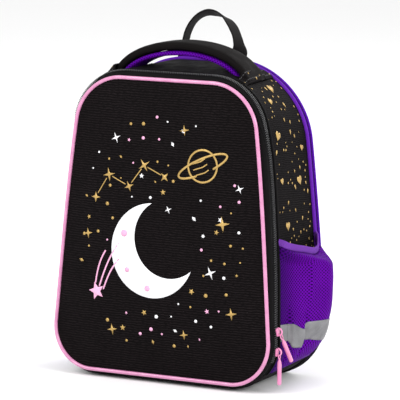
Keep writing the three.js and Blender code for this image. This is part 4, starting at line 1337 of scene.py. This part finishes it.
# Straps on the back
STRAP_WIDTH = 58.0
STRAP_THICKNESS = 9.0
STRAP_FOOT_SHARE = 0.72
STRAP_TOP_X = 44.0
STRAP_FOOT_X = 78.0
STRAP_FOOT_HEIGHT = 128.0
STRAP_STAND_OFF = 34.0
STRAP_OFF_ROWS = ((0, 0), (0.06, 0.12), (0.2, 0.5), (0.4, 0.9), (0.6, 1), (0.8, 0.86), (1, 0.56))
WEB_WIDTH = 25.0
WEB_THICKNESS = 1.8
ANCHOR_X = 100.0
ANCHOR_TOP = 59.0
ANCHOR_SIZE = 30.0
ADJUSTER_HEIGHT = 20.0


def patch(name, left, right, foot, top, thickness, material, slot, node):
    """A flat padded piece on the back panel's face."""
    i, j = np.meshgrid(np.linspace(0, 1, 25), np.linspace(0, 1, 49), indexing="ij")
    x = lerp(lerp(left[0], left[1], i), lerp(right[0], right[1], i), j)
    z = lerp(foot, top, i)
    from_ends, from_sides = np.minimum(i, 1 - i) * (top - foot), np.minimum(j, 1 - j) * (right[0] - left[0])
    edge = np.minimum(from_ends, from_sides)
    crown = thickness * (0.55 + 0.45 * smoothstep(edge, 0, 3.5))
    points = np.stack([x, back_face(x, z) + GAP + crown, z], -1)
    piece = grid(name, points, material, thick=thickness * 0.5)
    turn_to(piece.data, (0, 1, 0))
    return dress(piece, slot, node)


def build_straps():
    yoke_top = BODY_HEIGHT - YOKE_TOP_DROP
    yoke_foot = yoke_top - YOKE_HEIGHT
    left, right = (-0.96 * YOKE_HALF_WIDTH, -YOKE_HALF_WIDTH), (0.96 * YOKE_HALF_WIDTH, YOKE_HALF_WIDTH)
    yoke = patch(
        "yoke_cloth", left, right, yoke_foot, yoke_top, YOKE_THICKNESS, BLACK, "base_fabric", "strap_yoke",
    )
    stitches = []
    for z in (yoke_foot + 3, yoke_top - 3, yoke_top - 7):
        x = np.linspace(-YOKE_HALF_WIDTH * 0.93, YOKE_HALF_WIDTH * 0.93, 80)
        line = np.stack([x, back_face(x, np.full(80, z)) + GAP + YOKE_THICKNESS, np.full(80, z)], -1)
        stitches += stitch_row(line, np.tile([0.0, 1.0, 0.0], (80, 1)))
    dress(joined("yoke_stitches", stitches, THREAD), "base_fabric")
    for name, side in SIDES:
        build_strap(name, side, yoke_foot)


def build_strap(name, side, yoke_foot):
    share = np.linspace(0, 1, 81)
    x = lerp(STRAP_TOP_X, STRAP_FOOT_X, share**2)
    z = lerp(yoke_foot - 1.5, STRAP_FOOT_HEIGHT, share)
    off = STRAP_STAND_OFF * smooth_table(STRAP_OFF_ROWS, share)
    y = back_face(x, np.full(81, yoke_foot)) + GAP + YOKE_THICKNESS / 2 + off
    path = np.stack([side * x, y, z], -1)
    width = STRAP_WIDTH * lerp(1, STRAP_FOOT_SHARE, smoothstep(share, 0.55, 1))
    thickness = lerp(YOKE_THICKNESS, STRAP_THICKNESS, smoothstep(share, 0.05, 0.15))
    strap = ribbon(f"strap_pad_{name}", path, (1, 0, 0), width, thickness, MESH, 0.4, 28)
    dress(strap, "purple_mesh", f"shoulder_strap_{name}")
    for part, sign in (("inner", -1), ("outer", 1)):
        edge = path + np.array([1, 0, 0]) * (sign * (width / 2 - 1.2))[:, None]
        trim = ribbon(f"strap_trim_{part}_{name}", edge, (1, 0, 0), 5.0, thickness + 1.4, BLACK, 0.6, 14)
        dress(trim, "base_fabric")
    down = unit(path[-1] - path[-2])
    build_adjuster(name, path[-1], down)
    build_anchor_and_webbing(name, side, path[-1] + down * (2 * GAP + ADJUSTER_HEIGHT), down)


def build_adjuster(name, end, down):
    """A ladder lock: two side bars and three cross bars."""
    across = np.array([1.0, 0, 0])
    half = (WEB_WIDTH + 8) / 2
    parts = []
    face_way = np.cross(across, down)
    bars = [(x, 0.4, x, ADJUSTER_HEIGHT - 0.2, 4.4) for x in (2.2 - half, half - 2.2)]
    bars += [(2 - half, reach, half - 2, reach, 3.6) for reach in (2.4, 10.0, 17.6)]
    for x0, r0, x1, r1, width in bars:
        start, stop = end + across * x0 + down * r0, end + across * x1 + down * r1
        parts.append(bar_part(start, stop, face_way, width / 2, 2.4))
    dress(joined(f"adjuster_{name}", parts, BUCKLE), "buckle", f"strap_adjuster_{name}")


BAR_SIDES = 12


def bar_part(start, stop, face_way, half_width, half_thick):
    """A straight bar with a rounded section and bevelled ends."""
    shape = lambda v: np.sign(v) * np.abs(v) ** 0.5
    way = unit(stop - start)
    side_way = unit(np.cross(way, face_way))
    points = []
    for centre, size in ((start, 0.7), (start + way * 0.6, 1), (stop - way * 0.6, 1), (stop, 0.7)):
        for a in np.linspace(0, TAU, BAR_SIDES + 1)[:-1]:
            c, s = shape(math.cos(a)), shape(math.sin(a))
            points.append(centre + side_way * half_width * size * c + face_way * half_thick * size * s)
    return np.array(points), tube_faces(4, BAR_SIDES, 1)


def build_anchor_and_webbing(name, side, start, down):
    halves = (ANCHOR_SIZE / 2, ANCHOR_SIZE * 0.36)
    left = [side * ANCHOR_X - half for half in halves]
    right = [side * ANCHOR_X + half for half in halves]
    patch(
        f"anchor_cloth_{name}", left, right, ANCHOR_TOP - ANCHOR_SIZE, ANCHOR_TOP, 2 * WEB_THICKNESS,
        WEBBING, "webbing", f"strap_anchor_{name}",
    )
    foot_y = float(back_face(np.float64(ANCHOR_X), np.float64(ANCHOR_TOP))) + 2 * GAP + WEB_THICKNESS
    finish = np.array([side * ANCHOR_X, foot_y, ANCHOR_TOP + GAP])
    up = np.array([0, 0, 1.0])
    a, b, c, d = start + 2 * down, start + 20 * down, finish + 20 * up, finish + 2 * up
    t = np.linspace(0, 1, 40)[:, None]
    curve = a * (1 - t) ** 3 + 3 * b * t * (1 - t) ** 2 + 3 * c * t**2 * (1 - t) + d * t**3
    path = np.concatenate([[start - down * 8], [start], curve, [finish]])
    piece = ribbon(f"strap_web_{name}", path, (1, 0, 0), WEB_WIDTH, WEB_THICKNESS, WEBBING, 0.3, 16)
    dress(piece, "webbing", f"strap_webbing_{name}")


# Zip sliders: a plate with a raised bridge, a small link and a long moulded pull
SLIDERS = {
    "upper": dict(height=78.0, way=(0.18, 0.39, -0.91), link=7.0),
    "lower": dict(height=54.5, way=(0.0, 0.0, -1.0), link=4.6),
}
PULL_LENGTH = 32.5
PULL_RADIUS = 2.5
PULL_ROWS = (
    (0, 0.3), (0.015, 0.42), (0.05, 0.45), (0.1, 0.6), (0.17, 0.92), (0.24, 1), (0.6, 0.96), (0.93, 1),
    (0.97, 0.84), (0.992, 0.5), (1, 0.1),
)
PLATE_ROWS = ((-4.6, 4.6), (-4.2, 5.6), (-2, 6.2), (1.2, 7.0), (3.2, 8.0), (4.2, 6.8), (4.6, 5.0))
PLATE_THICKNESS = 2.6
BRIDGE_RADIUS = 4.4
BRIDGE_FOOT = 2.2
LINK_HALF_WIDTH = 2.2
LINK_THICKNESS = 1.3
PIVOT_HEIGHT = 4.6
PIVOT_DROP = 2.4


def build_slider(name, height, way, link):
    station = float(station_at_height(height))
    middle = float(zipper_middle(station))
    seat, out = shell(station, middle, COIL_HEIGHT + GAP), shell_out(station, middle)
    rear = np.array([0, 1.0, 0])
    up = np.cross(out, rear)
    place, width = (np.array(column) for column in zip(*PLATE_ROWS))
    path = seat + out * PLATE_THICKNESS / 2 + up * place[:, None]
    plate = ribbon(f"slider_plate_{name}", path, rear, width, PLATE_THICKNESS, ENAMEL, 0.45, 24)
    dress(plate, "pink_enamel", f"slider_{name}")
    angle = np.linspace(-0.1, math.pi + 0.1, 30)[:, None]
    arch = seat + out * (BRIDGE_FOOT + BRIDGE_RADIUS * np.sin(angle))
    arch = arch + up * (0.4 + BRIDGE_RADIUS * np.cos(angle))
    bridge = ribbon(f"slider_bridge_{name}", arch, rear, 2.5, 1.6, ENAMEL, 0.8, 14)
    dress(bridge, "pink_enamel")
    way = unit(np.array(way))
    pivot = seat + out * PIVOT_HEIGHT - up * PIVOT_DROP
    turn = np.linspace(0, TAU, 41)[:, None]
    beside = np.cross(way, out) * LINK_HALF_WIDTH
    ring = pivot + way * (link * 0.5 * (1 - np.cos(turn))) + beside * np.sin(turn)
    width = LINK_THICKNESS
    loop = ribbon(f"pull_link_{name}", ring, out, width, width, ENAMEL, 1.0, 12, closed=True)
    dress(loop, "pink_enamel", f"pull_ring_{name}")
    place, share = (np.array(column) for column in zip(*PULL_ROWS))
    rod = pivot + way * (link - 1.2 + place[:, None] * PULL_LENGTH)
    width = 2 * PULL_RADIUS * share
    pull = ribbon(f"pull_rod_{name}", rod, out, width, width, ENAMEL, 0.9, 20)
    dress(pull, "pink_enamel", f"pull_{name}")


# Studio
CAMERA_PLACE = (1.8784, -3.3088, 0.7844)
CAMERA_AIM = (-0.00126, 0.027, 0.20811)
CAMERA_LENS = 291.2
SENSOR_WIDTH = 36
FRAME_SHIFT = (0.0076, -0.0032)
LIGHT_AIM = (0, 0, 0.2)
LIGHTS = (
    ("key", (-1.2, -2.2, 2.2), (1.6, 1.6), 55),
    ("fill", (2.4, -0.6, 1.3), (1.0, 1.0), 34),
    ("rim", (0.8, 2.4, 1.9), (1.6, 1.2), 35),
)
FLOOR_HALF = 12.0
FLOOR_DROP = 0.0005


def build_camera():
    data = bpy.data.cameras.new("camera")
    camera = bpy.data.objects.new("camera", data)
    bpy.context.scene.collection.objects.link(camera)
    camera.location = CAMERA_PLACE
    way = Vector(CAMERA_AIM) - Vector(CAMERA_PLACE)
    camera.rotation_mode = "QUATERNION"
    camera.rotation_quaternion = way.to_track_quat("-Z", "Y")
    data.lens = CAMERA_LENS
    data.sensor_width = SENSOR_WIDTH
    data.shift_x, data.shift_y = FRAME_SHIFT
    data.clip_start, data.clip_end = 0.1, 50
    bpy.context.scene.camera = camera


def area_light(name, place, size, power):
    data = bpy.data.lights.new(name, "AREA")
    data.shape = "RECTANGLE"
    data.size, data.size_y = size
    data.energy = power
    light = bpy.data.objects.new(name, data)
    light.location = place
    light.rotation_mode = "QUATERNION"
    light.rotation_quaternion = (Vector(LIGHT_AIM) - Vector(place)).to_track_quat("-Z", "Y")
    bpy.context.scene.collection.objects.link(light)


def build_studio():
    material, _, shader = start_material("studio_floor", 0.9)
    shader.inputs["Base Color"].default_value = (0.9, 0.9, 0.9, 1)
    mesh = bpy.data.meshes.new("studio_floor")
    corners = [(FLOOR_HALF * x, FLOOR_HALF * y, 0) for x, y in ((-1, -1), (1, -1), (1, 1), (-1, 1))]
    mesh.from_pydata(corners, [], [[0, 1, 2, 3]])
    floor = new_object("studio_floor", mesh, material)
    floor.location.z = -FLOOR_DROP
    world = bpy.data.worlds.new("studio")
    world.use_nodes = True
    background = world.node_tree.nodes["Background"]
    background.inputs["Color"].default_value = (1, 1, 1, 1)
    background.inputs["Strength"].default_value = 1.0
    bpy.context.scene.world = world
    bpy.context.scene.view_settings.view_transform = "Standard"
    for light in LIGHTS:
        area_light(*light)


build_camera()
build_front_panel()
build_piping()
build_gusset()
build_zipper()
build_walls()
build_seam_strips()
build_back_panel()
build_pockets()
build_handle()
build_loop()
build_straps()
build_print()
build_side_spots()
for slider_name, slider in SLIDERS.items():
    build_slider(slider_name, **slider)
build_studio()
